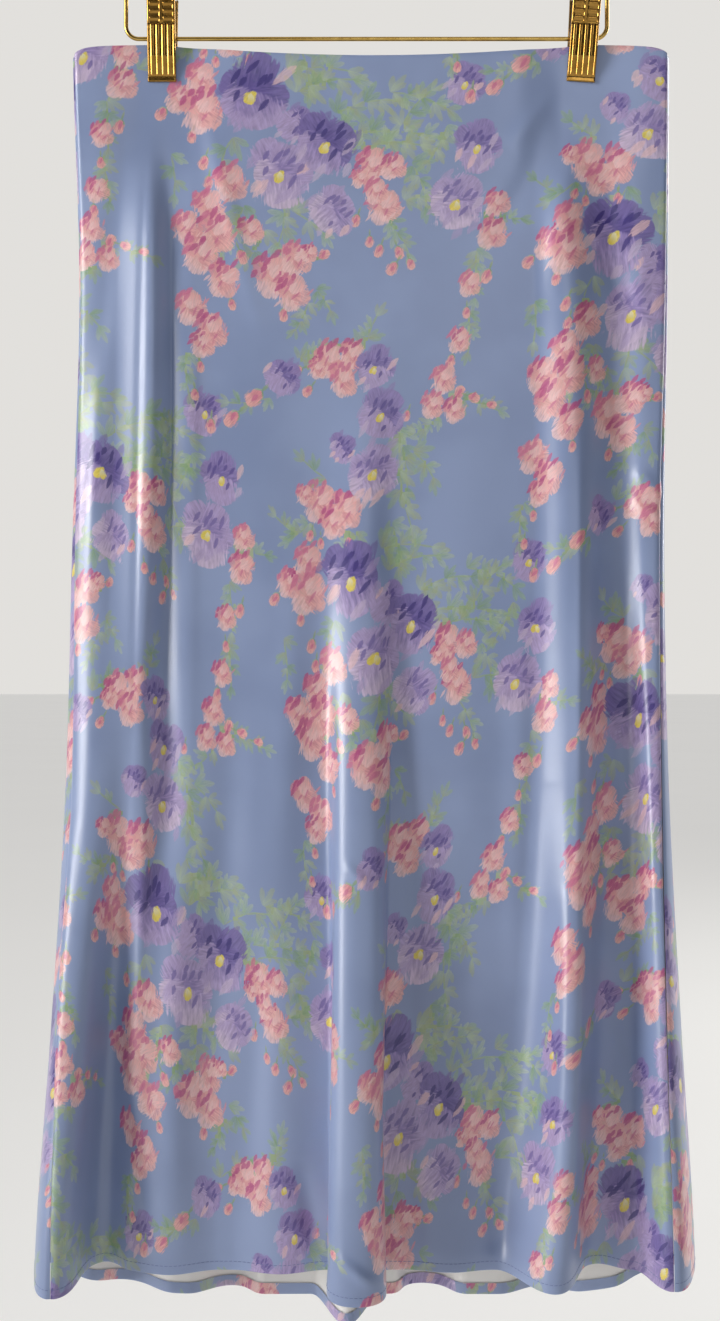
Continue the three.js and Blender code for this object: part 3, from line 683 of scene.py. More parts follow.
PANSIES = [
    # across, down, size, turn, look, eye
    (213, -16, 24, 10, "mid", True), (226, 49, 27, -14, "mid", True),
    (206, 105, 34, 0, "light", True), (24, 281, 22, 30, "mid", False),
    (124, 270, 24, -10, "mid", True), (132, 318, 29, 16, "mid", True),
    (88, 350, 17, 20, "mid", False), (124, 374, 34, -10, "light", True),
    (79, 112, 28, 40, "light", False), (44, 24, 24, 60, "mid", False),
    (27, 76, 38, 0, "light", True), (74, 46, 37, 14, "dark", True), (0, -2, 42, -14, "dark", True),
]
print("motifs in a repeat:", sum(map(len, (SPRAYS, ROSES, BUDS, PANSIES))))

# %% [markdown]
# Two slanting steps lead from one repeat to the next, so that no row or column of
# flowers shows. Every repeat that touches a panel is painted whole, and the margins
# are wider than its motifs reach from its first pansy.

# %% Painting a panel
REPEAT_RIGHT = (375, 145)
REPEAT_DOWN = (98, 480)
REPEATS = range(-5, 6)
MARGINS = {"left": 330, "right": 120, "above": 520, "below": 60}
FIRST_PANSY = {"front_panel": (-104.5, 98), "back_panel": (-60, -40)}
PANEL_REACH = {"front_panel": 560, "back_panel": 640}


def paint_repeat(corner):
    """Lays down every motif of one repeat, as places from the corner's first pansy."""
    def at(across, down):
        return corner[0] + across, corner[1] + down

    for across, down, turn, length, size, bend in SPRAYS:
        spray(at(across, down), turn, length, size, bend)
    for across, down, size, turn in BUDS:
        bud(at(across, down), size, turn)
    for across, down, size, turn in ROSES:
        rose(at(across, down), size, turn)
    for across, down, size, turn, look, eye in PANSIES:
        pansy(at(across, down), size, turn, look, eye)


def paint_panel(reach, low, start):
    """All marks of the repeats that touch a panel, as one array."""
    marks.clear()
    for i, j in itertools.product(REPEATS, REPEATS):
        across = start[0] + i * REPEAT_RIGHT[0] + j * REPEAT_DOWN[0]
        down = start[1] + i * REPEAT_RIGHT[1] + j * REPEAT_DOWN[1]
        touches = -reach - MARGINS["left"] < across < reach + MARGINS["right"]
        if touches and -MARGINS["above"] < down < low + MARGINS["below"]:
            paint_repeat((across, down))
    return np.array(marks)


print("steps to the next repeat:", REPEAT_RIGHT, REPEAT_DOWN)

# %% [markdown]
# A point of the cloth has a place in the print, and from there a place along and
# across each mark near it. Below the waist the hung cloth draws in sideways, so the
# print narrows too.

# %% Places on a mark
NARROWING = [1.0, 0.95, 0.84, 0.79, 0.78, 0.8]  # from the waist to the hem
WAIST_PLACE = 50  # how far down the print the waist edge lies
MARK_BEND = 1.25  # above 1, a mark is widest past its middle


def print_places(flat_u, flat_v, length):
    """The print's own pixels at every point of the flat cloth."""
    shares = flat_v[:, :1] / length
    narrow = np.array([[along(NARROWING, share)] for share in shares[:, 0]])
    return flat_u / narrow / PIXEL, flat_v / PIXEL + WAIST_PLACE


def local(mark_rows, across, down):
    """Where points lie along each mark, 0 to 1, and across it, -1 to 1."""
    dx, dy = across - mark_rows[..., 0], down - mark_rows[..., 1]
    sine, cosine = mark_rows[..., 2], mark_rows[..., 3]
    a = (dx * sine + dy * cosine) / mark_rows[..., 4]
    b = (dx * -cosine + dy * sine) / (mark_rows[..., 5] / 2)
    return a, b


def outline_at(a, shape):
    """Half width of a mark's outline along its length, as the brush group draws it."""
    bent = np.clip(a, 0, 1) ** MARK_BEND
    return (4 * bent * (1 - bent)) ** shape


print("widest place of a petal's mark:", round(0.5 ** (1 / MARK_BEND), 2), "of its length")

# %% [markdown]
# The marks are stored on the cloth's faces. Every face remembers the few marks
# that cross it, the last ones on top, and each of its corners stores where it lies
# along and across each mark. The material then draws the marks' edges sharply
# inside the faces, at any zoom.

# %% Placing marks on faces
LAYERS = 7
REACH, ENDS = 1.2, 0.1  # room for frayed edges, beside a mark and past its ends
COVERED = 0.8  # share of a mark's outline that hides what is below it for certain


def face_corners(grid):
    """A grid's values at the four corners of each of its faces."""
    return np.stack([grid[:-1, :-1], grid[1:, :-1], grid[1:, 1:], grid[:-1, 1:]])


def layers_of(panel_marks, across, down):
    """Each face's top marks, as mark numbers, and the last pushed out that covers it."""
    rows, columns = across.shape
    held = np.full((rows - 1, columns - 1, LAYERS), -1, dtype=np.int32)
    under = np.full((rows - 1, columns - 1), -1, dtype=np.int32)
    middle_across = (across[:-1, :-1] + across[1:, 1:]) / 2
    middle_down = (down[:-1, :-1] + down[1:, 1:]) / 2
    for number, row in enumerate(panel_marks):
        reach = row[4] + row[5]
        r0, r1 = np.searchsorted(down[:, 0], (row[1] - reach, row[1] + reach))
        r0, r1 = max(r0 - 1, 0), min(r1 + 1, rows)
        if r1 - r0 < 2:
            continue
        spans = [np.searchsorted(across[r], (row[0] - reach, row[0] + reach)) for r in (r0, r1 - 1)]
        c0 = max(min(span[0] for span in spans) - 2, 0)
        c1 = min(max(span[1] for span in spans) + 2, columns)
        if c1 - c0 < 2:
            continue
        a, b = local(row, across[r0:r1, c0:c1], down[r0:r1, c0:c1])
        corners_a, corners_b = face_corners(a), face_corners(b)
        hit = ((corners_a.min(0) < 1 + ENDS) & (corners_a.max(0) > -ENDS)
               & (corners_b.min(0) < REACH) & (corners_b.max(0) > -REACH))
        part = held[r0:r1 - 1, c0:c1 - 1]
        chosen = part[hit]
        buried = panel_marks[chosen[:, 0]]
        window = (slice(r0, r1 - 1), slice(c0, c1 - 1))
        a, b = local(buried, middle_across[window][hit], middle_down[window][hit])
        covers = (chosen[:, 0] >= 0) & (np.abs(b) < COVERED * outline_at(a, buried[:, 13]))
        under[window][hit] = np.where(covers, chosen[:, 0], under[window][hit])
        chosen[:, :-1] = chosen[:, 1:]
        chosen[:, -1] = number
        part[hit] = chosen
    return held, under


print("marks that a face can hold:", LAYERS)

# %% [markdown]
# A panel's grid has hundreds of rows, so its mesh is built from whole arrays, which
# is much faster than adding points one by one.

# %% A mesh from arrays


def new_object(name, data):
    made = bpy.data.objects.new(name, data)
    bpy.context.scene.collection.objects.link(made)
    return made


def grid_faces(index):
    """The faces of a grid of point numbers, four numbers for each."""
    return np.moveaxis(face_corners(index), 0, -1).reshape(-1, 4)


def grid_mesh(name, points):
    """An object from a grid of points in millimetres, and its faces' point numbers."""
    rows, columns = points.shape[:2]
    mesh = bpy.data.meshes.new(name)
    mesh.vertices.add(rows * columns)
    mesh.vertices.foreach_set("co", (points.reshape(-1, 3) * MM).ravel())
    faces = grid_faces(np.arange(rows * columns).reshape(rows, columns))
    mesh.loops.add(faces.size)
    mesh.loops.foreach_set("vertex_index", faces.ravel())
    mesh.polygons.add(len(faces))
    mesh.polygons.foreach_set("loop_start", np.arange(0, faces.size, 4))
    mesh.polygons.foreach_set("use_smooth", np.ones(len(faces), dtype=bool))
    mesh.update(calc_edges=True)
    return new_object(name, mesh), faces


print("faces of a grid of 3 by 4 points:", len(grid_faces(np.arange(12).reshape(3, 4))))

# %% [markdown]
# The marks go into the mesh as attributes: one vector per corner, and two colours
# per face, for each layer. A mark that is pushed out, but covers its face, leaves
# one flat colour below them.

# %% Building a panel


def store_marks(mesh, faces, panel_marks, held, under, across, down):
    """Writes each face's marks into the mesh, for the material to draw."""
    held = held.reshape(-1, LAYERS)
    buried = panel_marks[under.ravel()]
    paint = np.column_stack([(buried[:, 6:9] + buried[:, 10:13]) / 2, under.ravel() >= 0])
    attribute = mesh.attributes.new("under", "FLOAT_COLOR", "FACE")
    attribute.data.foreach_set("color", paint.astype(np.float32).ravel())
    flat_across, flat_down = across.ravel()[faces], down.ravel()[faces]
    for layer in range(LAYERS):
        numbers = held[:, layer]
        rows = panel_marks[numbers]
        a, b = local(rows[:, None, :], flat_across, flat_down)
        seeds = np.repeat(rows[:, 14:15], 4, axis=1)
        used = (numbers >= 0)[:, None]
        place = np.stack([a, b, seeds], -1) * used[..., None]
        attribute = mesh.attributes.new(f"mark_{layer}", "FLOAT_VECTOR", "CORNER")
        attribute.data.foreach_set("vector", place.astype(np.float32).ravel())
        for word, start in (("root", 6), ("tip", 10)):
            colour = rows[:, start:start + 4] * used
            attribute = mesh.attributes.new(f"{word}_{layer}", "FLOAT_COLOR", "FACE")
            attribute.data.foreach_set("color", colour.astype(np.float32).ravel())


def build_panel(panel):
    """A panel's mesh with the marks that its faces hold."""
    name = panel["name"]
    points, flat_u, flat_v = grids[name]
    length = panel["hem"] - BAR_DROP - WAIST_DROP
    across, down = print_places(flat_u, flat_v, length)
    panel_marks = paint_panel(PANEL_REACH[name], down.max(), FIRST_PANSY[name])
    held, under = layers_of(panel_marks, across, down)
    piece, faces = grid_mesh(name + "_satin", points)
    store_marks(piece.data, faces, panel_marks, held, under, across, down)
    print(piece.name, "marks:", len(panel_marks), "triangles:", 2 * len(faces))
    return piece


front = build_panel(FRONT)
back = build_panel(BACK)

# %% [markdown]
# Materials are trees of nodes. A few helpers make the nodes that are used most, so
# that a tree reads like a short calculation.

# %% Node helpers


def new_group(name, inputs, outputs):
    """A shader node group with named sockets, and its input and output nodes."""
    group = bpy.data.node_groups.new(name, "ShaderNodeTree")
    for socket, kind, value in inputs:
        made = group.interface.new_socket(socket, in_out="INPUT", socket_type=kind)
        if value is not None:
            made.default_value = value
    for socket, kind in outputs:
        group.interface.new_socket(socket, in_out="OUTPUT", socket_type=kind)
    return group, group.nodes.new("NodeGroupInput"), group.nodes.new("NodeGroupOutput")


def math_node(tree, operation, *values):
    """A Math node whose inputs are numbers or sockets, and its output."""
    node = tree.nodes.new("ShaderNodeMath")
    node.operation = operation
    for socket, value in zip(node.inputs, values):
        if isinstance(value, (int, float)):
            socket.default_value = value
        else:
            tree.links.new(value, socket)
    return node.outputs[0]


def mix_colours(tree, share, first, second, blend="MIX"):
    node = tree.nodes.new("ShaderNodeMix")
    node.data_type = "RGBA"
    node.blend_type = blend
    for socket, value in zip((node.inputs[0], node.inputs[6], node.inputs[7]), (share, first, second)):
        if isinstance(value, (int, float, tuple)):
            socket.default_value = value
        else:
            tree.links.new(value, socket)
    return node.outputs[2]


def smooth_step(tree, value, low, high, to_low=0.0, to_high=1.0):
    node = tree.nodes.new("ShaderNodeMapRange")
    node.interpolation_type = "SMOOTHSTEP"
    tree.links.new(value, node.inputs["Value"])
    for socket, number in zip(node.inputs[1:5], (low, high, to_low, to_high)):
        socket.default_value = number
    return node.outputs["Result"]


def noise_node(tree, vector, scale, detail=2.0, roughness=0.5, dimensions="3D"):
    node = tree.nodes.new("ShaderNodeTexNoise")
    node.noise_dimensions = dimensions
    tree.links.new(vector, node.inputs["Vector"])
    node.inputs["Scale"].default_value = scale
    node.inputs["Detail"].default_value = detail
    node.inputs["Roughness"].default_value = roughness
    return node.outputs["Fac"]


print("node helpers: group, maths, mix of colours, smooth step and noise")

# %% [markdown]
# One node group draws one brush mark over whatever is below it. The mark's outline
# comes from its shape number: rounded, petal or pointed. Noise stretched along the
# mark frays its edge and streaks its colour like a dry brush.

# %% Brush mark group
GRAIN_ALONG, GRAIN_ACROSS = 2.4, 7.2  # streaks run along a mark, so they are close across it
FRAY, FULL = 1.5, 1.08  # how far the grain moves a mark's edge, and its middle place
SOFT_EDGE = 0.3
STREAKS = 0.7


def brush_mark_group():
    """Lays one mark over a colour. Place is along, across and seed, as stored."""
    group, given, result = new_group(
        "Brush mark",
        [("Below", "NodeSocketColor", None), ("Place", "NodeSocketVector", None),
         ("Root", "NodeSocketColor", None), ("Strength", "NodeSocketFloat", 0.0),
         ("Tip", "NodeSocketColor", None), ("Shape", "NodeSocketFloat", 0.6)],
        [("Color", "NodeSocketColor")])
    parts = group.nodes.new("ShaderNodeSeparateXYZ")
    group.links.new(given.outputs["Place"], parts.inputs[0])
    a, b, seed = parts.outputs
    stretched = group.nodes.new("ShaderNodeCombineXYZ")
    group.links.new(math_node(group, "MULTIPLY_ADD", a, GRAIN_ALONG, seed), stretched.inputs[0])
    group.links.new(math_node(group, "MULTIPLY_ADD", b, GRAIN_ACROSS, seed), stretched.inputs[1])
    noise = noise_node(group, stretched.outputs[0], 1.0, 2.0, 0.6, "2D")
    grain = math_node(group, "SUBTRACT", noise, 0.5)
    held = math_node(group, "MINIMUM", math_node(group, "MAXIMUM", a, 0.0), 1.0)
    bent = math_node(group, "POWER", held, MARK_BEND)
    hump = math_node(group, "MULTIPLY", math_node(group, "MULTIPLY", bent, 4.0),
                     math_node(group, "SUBTRACT", 1.0, bent))
    outline = math_node(group, "POWER", hump, given.outputs["Shape"])
    edge = math_node(group, "MULTIPLY_ADD", grain, FRAY, FULL)
    frayed = math_node(group, "MULTIPLY", outline, edge)
    inside = math_node(group, "SUBTRACT", frayed, math_node(group, "ABSOLUTE", b))
    solid = smooth_step(group, inside, 0.0, SOFT_EDGE)
    cover = math_node(group, "MULTIPLY", solid, given.outputs["Strength"])
    climb = smooth_step(group, math_node(group, "MULTIPLY_ADD", grain, 1.0, a), 0.15, 0.95)
    tone = mix_colours(group, climb, given.outputs["Root"], given.outputs["Tip"])
    streak = math_node(group, "MULTIPLY_ADD", grain, STREAKS, 1.0)
    bright = group.nodes.new("ShaderNodeVectorMath")
    bright.operation = "SCALE"
    group.links.new(tone, bright.inputs[0])
    group.links.new(streak, bright.inputs["Scale"])
    drawn = mix_colours(group, cover, given.outputs["Below"], bright.outputs[0])
    group.links.new(drawn, result.inputs[0])
    return group


brush_mark = brush_mark_group()
print("brush mark nodes:", len(brush_mark.nodes))

# %% [markdown]
# Satin is a weave of long floating threads, so it is smooth and shiny in broad
# bands, with a very fine rib. The rib could be a bumped image. Stretched noise does
# the same at any zoom.

# %% Satin weave


def object_place(tree):
    """Places on the object itself, in metres."""
    return tree.nodes.new("ShaderNodeTexCoord").outputs["Object"]


def weave_group():
    """Fine threads that run down the cloth at a slant, with soft swells."""
    group, given, result = new_group(
        "Satin weave", [("Strength", "NodeSocketFloat", 0.5)], [("Height", "NodeSocketFloat")])
    place = object_place(group)
    squeeze = group.nodes.new("ShaderNodeMapping")
    squeeze.inputs["Scale"].default_value = (1.0, 1.0, 0.12)
    squeeze.inputs["Rotation"].default_value = (0.0, math.radians(45), 0.0)
    group.links.new(place, squeeze.inputs["Vector"])
    threads = noise_node(group, squeeze.outputs[0], 1400.0)
    clouds = noise_node(group, place, 60.0)
    height = math_node(group, "MULTIPLY_ADD", clouds, 0.8, threads)
    group.links.new(math_node(group, "MULTIPLY", height, given.outputs["Strength"]), result.inputs[0])
    return group


satin_weave = weave_group()
print("satin weave nodes:", len(satin_weave.nodes))

# %% [markdown]
# The printed side shows the marks over a blue ground that clouds a little, and the
# reverse, seen inside the hem, is plain white. One material can do both, because it
# knows which side of a face it is on.

# %% Printed satin
GROUND = (*linear(133, 149, 187), 1)
GROUND_CLOUD = (*linear(144, 160, 198), 1)
REVERSE = (*linear(240, 238, 236), 1)


def place_group(tree, group, **values):
    """A group's node, with numbers or sockets for its inputs."""
    node = tree.nodes.new("ShaderNodeGroup")
    node.node_tree = group
    for socket, value in values.items():
        if hasattr(value, "is_output"):
            tree.links.new(value, node.inputs[socket])
        else:
            node.inputs[socket].default_value = value
    return node


def attribute_node(tree, name):
    node = tree.nodes.new("ShaderNodeAttribute")
    node.attribute_name = name
    return node


def new_material(name, roughness, specular=0.5):
    material = bpy.data.materials.new(name)
    material.use_nodes = True
    shader = material.node_tree.nodes["Principled BSDF"]
    shader.inputs["Roughness"].default_value = roughness
    shader.inputs["Specular IOR Level"].default_value = specular
    return material, material.node_tree, shader


def add_relief(tree, shader, height, strength, distance):
    """A material's fine relief, from a height."""
    relief = tree.nodes.new("ShaderNodeBump")
    relief.inputs["Strength"].default_value = strength
    relief.inputs["Distance"].default_value = distance
    tree.links.new(height, relief.inputs["Height"])
    tree.links.new(relief.outputs["Normal"], shader.inputs["Normal"])


def satin_material():
    """The printed side with every layer of marks, and the plain reverse."""
    material, tree, shader = new_material("printed_satin", 0.34, 0.7)
    shader.inputs["Sheen Weight"].default_value = 0.12
    shader.inputs["Sheen Roughness"].default_value = 0.35
    shader.inputs["Sheen Tint"].default_value = (0.86, 0.9, 1.0, 1.0)
    cloud = noise_node(tree, object_place(tree), 9.0, 3.0, 0.55)
    colour = mix_colours(tree, smooth_step(tree, cloud, 0.35, 0.65), GROUND, GROUND_CLOUD)
    buried = attribute_node(tree, "under")
    colour = mix_colours(tree, buried.outputs["Alpha"], colour, buried.outputs["Color"])
    for layer in range(LAYERS):
        spot = attribute_node(tree, f"mark_{layer}")
        root = attribute_node(tree, f"root_{layer}")
        tip = attribute_node(tree, f"tip_{layer}")
        drawn = place_group(
            tree, brush_mark, Below=colour, Place=spot.outputs["Vector"],
            Root=root.outputs["Color"], Strength=root.outputs["Alpha"],
            Tip=tip.outputs["Color"], Shape=tip.outputs["Alpha"])
        colour = drawn.outputs["Color"]
    side = tree.nodes.new("ShaderNodeNewGeometry")
    both = mix_colours(tree, side.outputs["Backfacing"], colour, REVERSE)
    tree.links.new(both, shader.inputs["Base Color"])
    rough = smooth_step(tree, cloud, 0.3, 0.7, 0.3, 0.38)
    tree.links.new(rough, shader.inputs["Roughness"])
    weave = place_group(tree, satin_weave, Strength=0.5)
    add_relief(tree, shader, weave.outputs["Height"], 0.12, 0.0002)
    return material


satin = satin_material()
print("printed satin nodes:", len(satin.node_tree.nodes))

# %% [markdown]
# Each panel is one piece of cloth, though its solid is cut into strips so that
# collision can follow the folds. So one mesh takes the place of all its strips.

# %% Panels in satin
for piece, start in ((front, "front_panel"), (back, "back_panel")):
    piece.data.materials.append(satin)
    strips = [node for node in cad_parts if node.startswith(start)]
    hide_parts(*strips)
    print(piece.name, "stands for", strips)
    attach(piece, "root")

# %% [markdown]
# Threads and wires are both round tubes along a line. Many small tubes go into one
# mesh, because hundreds of objects would be slow to draw and to export.

# %% Tubes and joined pieces


def tube_arrays(points, radius, sides, across=None):
    """Vertices and faces of a closed tube along points, in millimetres."""
    points = np.asarray(points, dtype=float)
    ahead = np.gradient(points, axis=0)
    ahead /= np.linalg.norm(ahead, axis=1)[:, None]
    guide = np.array([0, 1, 0]) if across is None else across
    first = np.cross(ahead, guide)
    first /= np.linalg.norm(first, axis=1)[:, None]
    second = np.cross(ahead, first)
    turn = np.linspace(0, 2 * np.pi, sides, endpoint=False)[None, :, None]
    radius = np.broadcast_to(radius, len(points))[:, None, None]
    rings = points[:, None] + radius * (np.cos(turn) * first[:, None] + np.sin(turn) * second[:, None])
    faces = []
    for r in range(len(points) - 1):
        for s in range(sides):
            near, far = r * sides, (r + 1) * sides
            faces.append((near + s, near + (s + 1) % sides, far + (s + 1) % sides, far + s))
    faces.append(tuple(range(sides))[::-1])
    faces.append(tuple(range((len(points) - 1) * sides, len(points) * sides)))
    return rings.reshape(-1, 3), faces


def joined_piece(name, parts, material):
    """One object from many (vertices, faces) parts."""
    vertices, faces, first = [], [], 0
    for part, part_faces in parts:
        vertices.append(np.asarray(part) * MM)
        faces.extend(tuple(first + i for i in face) for face in part_faces)
        first += len(part)
    mesh = bpy.data.meshes.new(name)
    mesh.from_pydata(np.concatenate(vertices).tolist(), [], faces)
    mesh.polygons.foreach_set("use_smooth", [True] * len(faces))
    mesh.materials.append(material)
    piece = new_object(name, mesh)
    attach(piece, "root")
    print(name, "faces:", len(faces))
    return piece


print("faces of a tube of 3 rings and 8 sides:", len(tube_arrays(np.eye(3), 1, 8)[1]))

# %% [markdown]
# A hem is held by a line of small stitches, 2.5 mm long. Each one is a short thread
# that dips into the cloth at both ends. They follow the row of the panel's grid
# where the cloth already dips, and one joined mesh holds a whole line.

# %% Stitches
STITCH, STITCH_SPACE = 2.5, 0.7
THREAD = 0.17
THREAD_SHARES = (0.45, 0.95, 1, 0.95, 0.45)  # a stitch is thin where it dips in
THREAD_OUT = 0.08
DIP_SLACK = 2.2  # the stitches' row may lie this far above the dip's middle


def stitch_line(line):
    """Stitches along a line of points just outside the cloth."""
    steps = np.linalg.norm(np.diff(line, axis=0), axis=1)
    run = np.concatenate([[0], np.cumsum(steps)])
    parts = []
    for start in np.arange(0.5, run[-1] - STITCH, STITCH + STITCH_SPACE):
        places = start + STITCH * np.linspace(0, 1, len(THREAD_SHARES))
        middle = np.stack([np.interp(places, run, line[:, k]) for k in range(3)], 1)
        slim = THREAD * np.array(THREAD_SHARES)
        parts.append(tube_arrays(middle, slim, 5, across=np.array([0, 0, 1])))
    return parts


def thread_material():
    material, tree, shader = new_material("sewing_thread", 0.55, 0.4)
    twist = noise_node(tree, object_place(tree), 900.0)
    dark, light = (*linear(86, 100, 150), 1), (*linear(128, 140, 186), 1)
    tree.links.new(mix_colours(tree, twist, dark, light), shader.inputs["Base Color"])
    return material


thread = thread_material()
for name, (points, _, flat_v) in grids.items():
    hem_row = int(np.argmax(flat_v[:, 0] > flat_v[FACE_END, 0] - STITCH_UP - DIP_SLACK))
    outer = points[hem_row]
    ahead = np.gradient(outer[:, :2], axis=0)
    outward = np.column_stack([ahead[:, 1], -ahead[:, 0]]) / np.linalg.norm(ahead, axis=1)[:, None]
    outer = outer + np.column_stack([outward * THREAD_OUT, np.zeros(len(outward))])
    stitches = joined_piece(name + "_hem_stitches", stitch_line(outer), thread)

# %% [markdown]
# Polished brass plating is a metal with a low roughness, which handling and fine
# scratches make uneven. That finish is one node group, which the wire and the clips
# share.

# %% Brass finish


def handled_brass_group():
    """Polished brass with a haze from hands and fine scratches."""
    group, given, result = new_group(
        "Handled brass",
        [("Tone", "NodeSocketColor", None), ("Roughness", "NodeSocketFloat", 0.2)],
        [("Color", "NodeSocketColor"), ("Roughness", "NodeSocketFloat"), ("Height", "NodeSocketFloat")])
    place = object_place(group)
    haze = noise_node(group, place, 130.0, 3.0, 0.6)
    scratches = noise_node(group, place, 2400.0, 2.0, 0.6)
    warm = mix_colours(group, 1.0, given.outputs["Tone"], (0.86, 0.8, 0.66, 1), "MULTIPLY")
    tone = mix_colours(group, smooth_step(group, haze, 0.4, 0.7), given.outputs["Tone"], warm)
    dull = smooth_step(group, haze, 0.3, 0.75, 0.75, 1.5)
    rough = math_node(group, "MULTIPLY", dull, given.outputs["Roughness"])
    group.links.new(tone, result.inputs["Color"])
    group.links.new(rough, result.inputs["Roughness"])
    group.links.new(scratches, result.inputs["Height"])
    return group


handled_brass = handled_brass_group()


def brass_material(name, tone, roughness):
    material, tree, shader = new_material(name, roughness)
    shader.inputs["Metallic"].default_value = 1.0
    finish = place_group(tree, handled_brass, Tone=(*tone, 1), Roughness=roughness)
    tree.links.new(finish.outputs["Color"], shader.inputs["Base Color"])
    tree.links.new(finish.outputs["Roughness"], shader.inputs["Roughness"])
    add_relief(tree, shader, finish.outputs["Height"], 0.05, 0.0001)
    return material


wire_brass = brass_material("wire_brass", linear(206, 172, 98), 0.14)
print("brass:", wire_brass.name, "from the group", handled_brass.name)

# %% [markdown]
# The hanger is one bent wire with a welded collar and a hook. A wire is a round
# tube along straight runs and true arcs.

# %% Hanger wire
WIRE, HOOK_WIRE, HOOK_RADIUS = 3, 3.6, 20
HALF_SPAN, BEND, SHOULDER_BEND, SHOULDER_DROP = 168.3, 9, 16, 122
COLLAR_TOP, COLLAR_LENGTH, COLLAR_RADIUS, WIRE_APART = 58, 16, 4.4, 2
COLLAR_LOW = -COLLAR_TOP - COLLAR_LENGTH
JOIN_GAP = 0.3  # between the collar and a wire that meets it
WIRE_SIDES = 24


def rounded_path(corners, steps=14):
    """Points x, y, z through corners (x, z, bend), with a true arc at each bend."""
    path = []
    for i, (x, z, bend) in enumerate(corners):
        corner = np.array([x, 0.0, z])
        if not bend:
            path.append(corner)
            continue
        before, after = (np.array([corners[k][0], 0, corners[k][1]]) - corner for k in (i - 1, i + 1))
        before, after = before / np.linalg.norm(before), after / np.linalg.norm(after)
        half = math.acos(np.clip(before @ after, -1, 1)) / 2
        middle = corner + (before + after) / np.linalg.norm(before + after) * bend / math.sin(half)
        a, b = (corner + way * bend / math.tan(half) - middle for way in (before, after))
        turn = math.acos(np.clip(a @ b / bend ** 2, -1, 1))
        for t in np.linspace(0, 1, steps):
            out = a * math.sin((1 - t) * turn) + b * math.sin(t * turn)
            path.append(middle + out / math.sin(turn))
    return np.array(path)


half_frame = [
    # across, up, bend
    (-WIRE_APART, COLLAR_LOW - JOIN_GAP, 0), (-WIRE_APART, COLLAR_LOW - 9.3, 7),
    (-HALF_SPAN, -SHOULDER_DROP, SHOULDER_BEND), (-HALF_SPAN, -BAR_DROP, BEND),
]
frame_path = rounded_path(half_frame + [(-x, z, bend) for x, z, bend in reversed(half_frame)])
hanger_wire = joined_piece("hanger_wire", [tube_arrays(frame_path, WIRE / 2, WIRE_SIDES)], wire_brass)
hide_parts("hanger_frame")

# %% [markdown]
# The hook's crown is over the origin, where a rail would carry the hanger. Its tip
# is rounded off. The collar is a short turned sleeve with two pressed grooves.

# %% Hook and collar
hook_arc = HOOK_RADIUS + HOOK_WIRE / 2
hook_corners = [
    # across, up, bend
    (0, -COLLAR_TOP + JOIN_GAP, 0), (0, -48, 9),
    (hook_arc * 0.66, -HOOK_RADIUS - hook_arc * 0.9, 9),
]
for angle in np.radians(np.arange(-25, 206, 3.833)):
    hook_corners.append((hook_arc * math.cos(angle), -HOOK_RADIUS + hook_arc * math.sin(angle), 0))
hook_path = rounded_path(hook_corners)
hook_slim = np.full(len(hook_path), HOOK_WIRE / 2)
tip_run = np.linalg.norm(hook_path[-1] - hook_path[-2])
tip_way = (hook_path[-1] - hook_path[-2]) / tip_run
tip = [hook_path[-1] + tip_way * HOOK_WIRE / 2 * share for share in (0.4, 0.75, 0.96)]
hook_path = np.vstack([hook_path, tip])
hook_slim = np.concatenate([hook_slim, HOOK_WIRE / 2 * np.array([0.92, 0.66, 0.28])])
hanger_hook = joined_piece("hook_wire", [tube_arrays(hook_path, hook_slim, WIRE_SIDES)], wire_brass)
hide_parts("hanger_hook")

collar_heights = np.linspace(COLLAR_LOW, -COLLAR_TOP, 41)
from_end = np.minimum(collar_heights - COLLAR_LOW, -COLLAR_TOP - collar_heights)
collar_slim = COLLAR_RADIUS - 0.8 * np.exp(-from_end / 0.35)
for groove in (0.3, 0.7):
    middle = COLLAR_LOW + groove * COLLAR_LENGTH
    collar_slim = collar_slim - 0.5 * np.exp(-((collar_heights - middle) / 0.8) ** 2)
collar_line = np.column_stack([collar_heights * 0, collar_heights * 0, collar_heights])
collar = joined_piece("collar_sleeve", [tube_arrays(collar_line, collar_slim, 40)], wire_brass)
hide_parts("hanger_collar")

# %% [markdown]
# Each clip has two pressed jaws that turn about the bar and a coil spring between
# them. A jaw is a thin plate with five rounded ribs below the bar, two rows of
# short bars above it and a flat lip that grips the cloth. The plate's relief is a
# height field on a fine grid, closed by a second face 1 mm behind it.

# %% Jaw plates
JAW_HALF_WIDTH, JAW_THICKNESS, RIB_HEIGHT = 9.8, 1, 0.8
JAW_FOOT, JAW_HEAD = -30.8, 31.2
JAW_LINE = [
    # height, half of the gap between the jaws
    (JAW_FOOT, 1.8), (-27.6, 1.8), (-27.2, 1.9), (-14, 5.6), (0, 7.4), (7.6, 8), (JAW_HEAD, 11.8),
]
JAW_GRID = (150, 61)
LIP_TOP, RIBS_TOP, BARS_TOP = -27.4, 8.1, 28.9
BAR_PITCH, BAR_FIRST = 4.9, 11.2


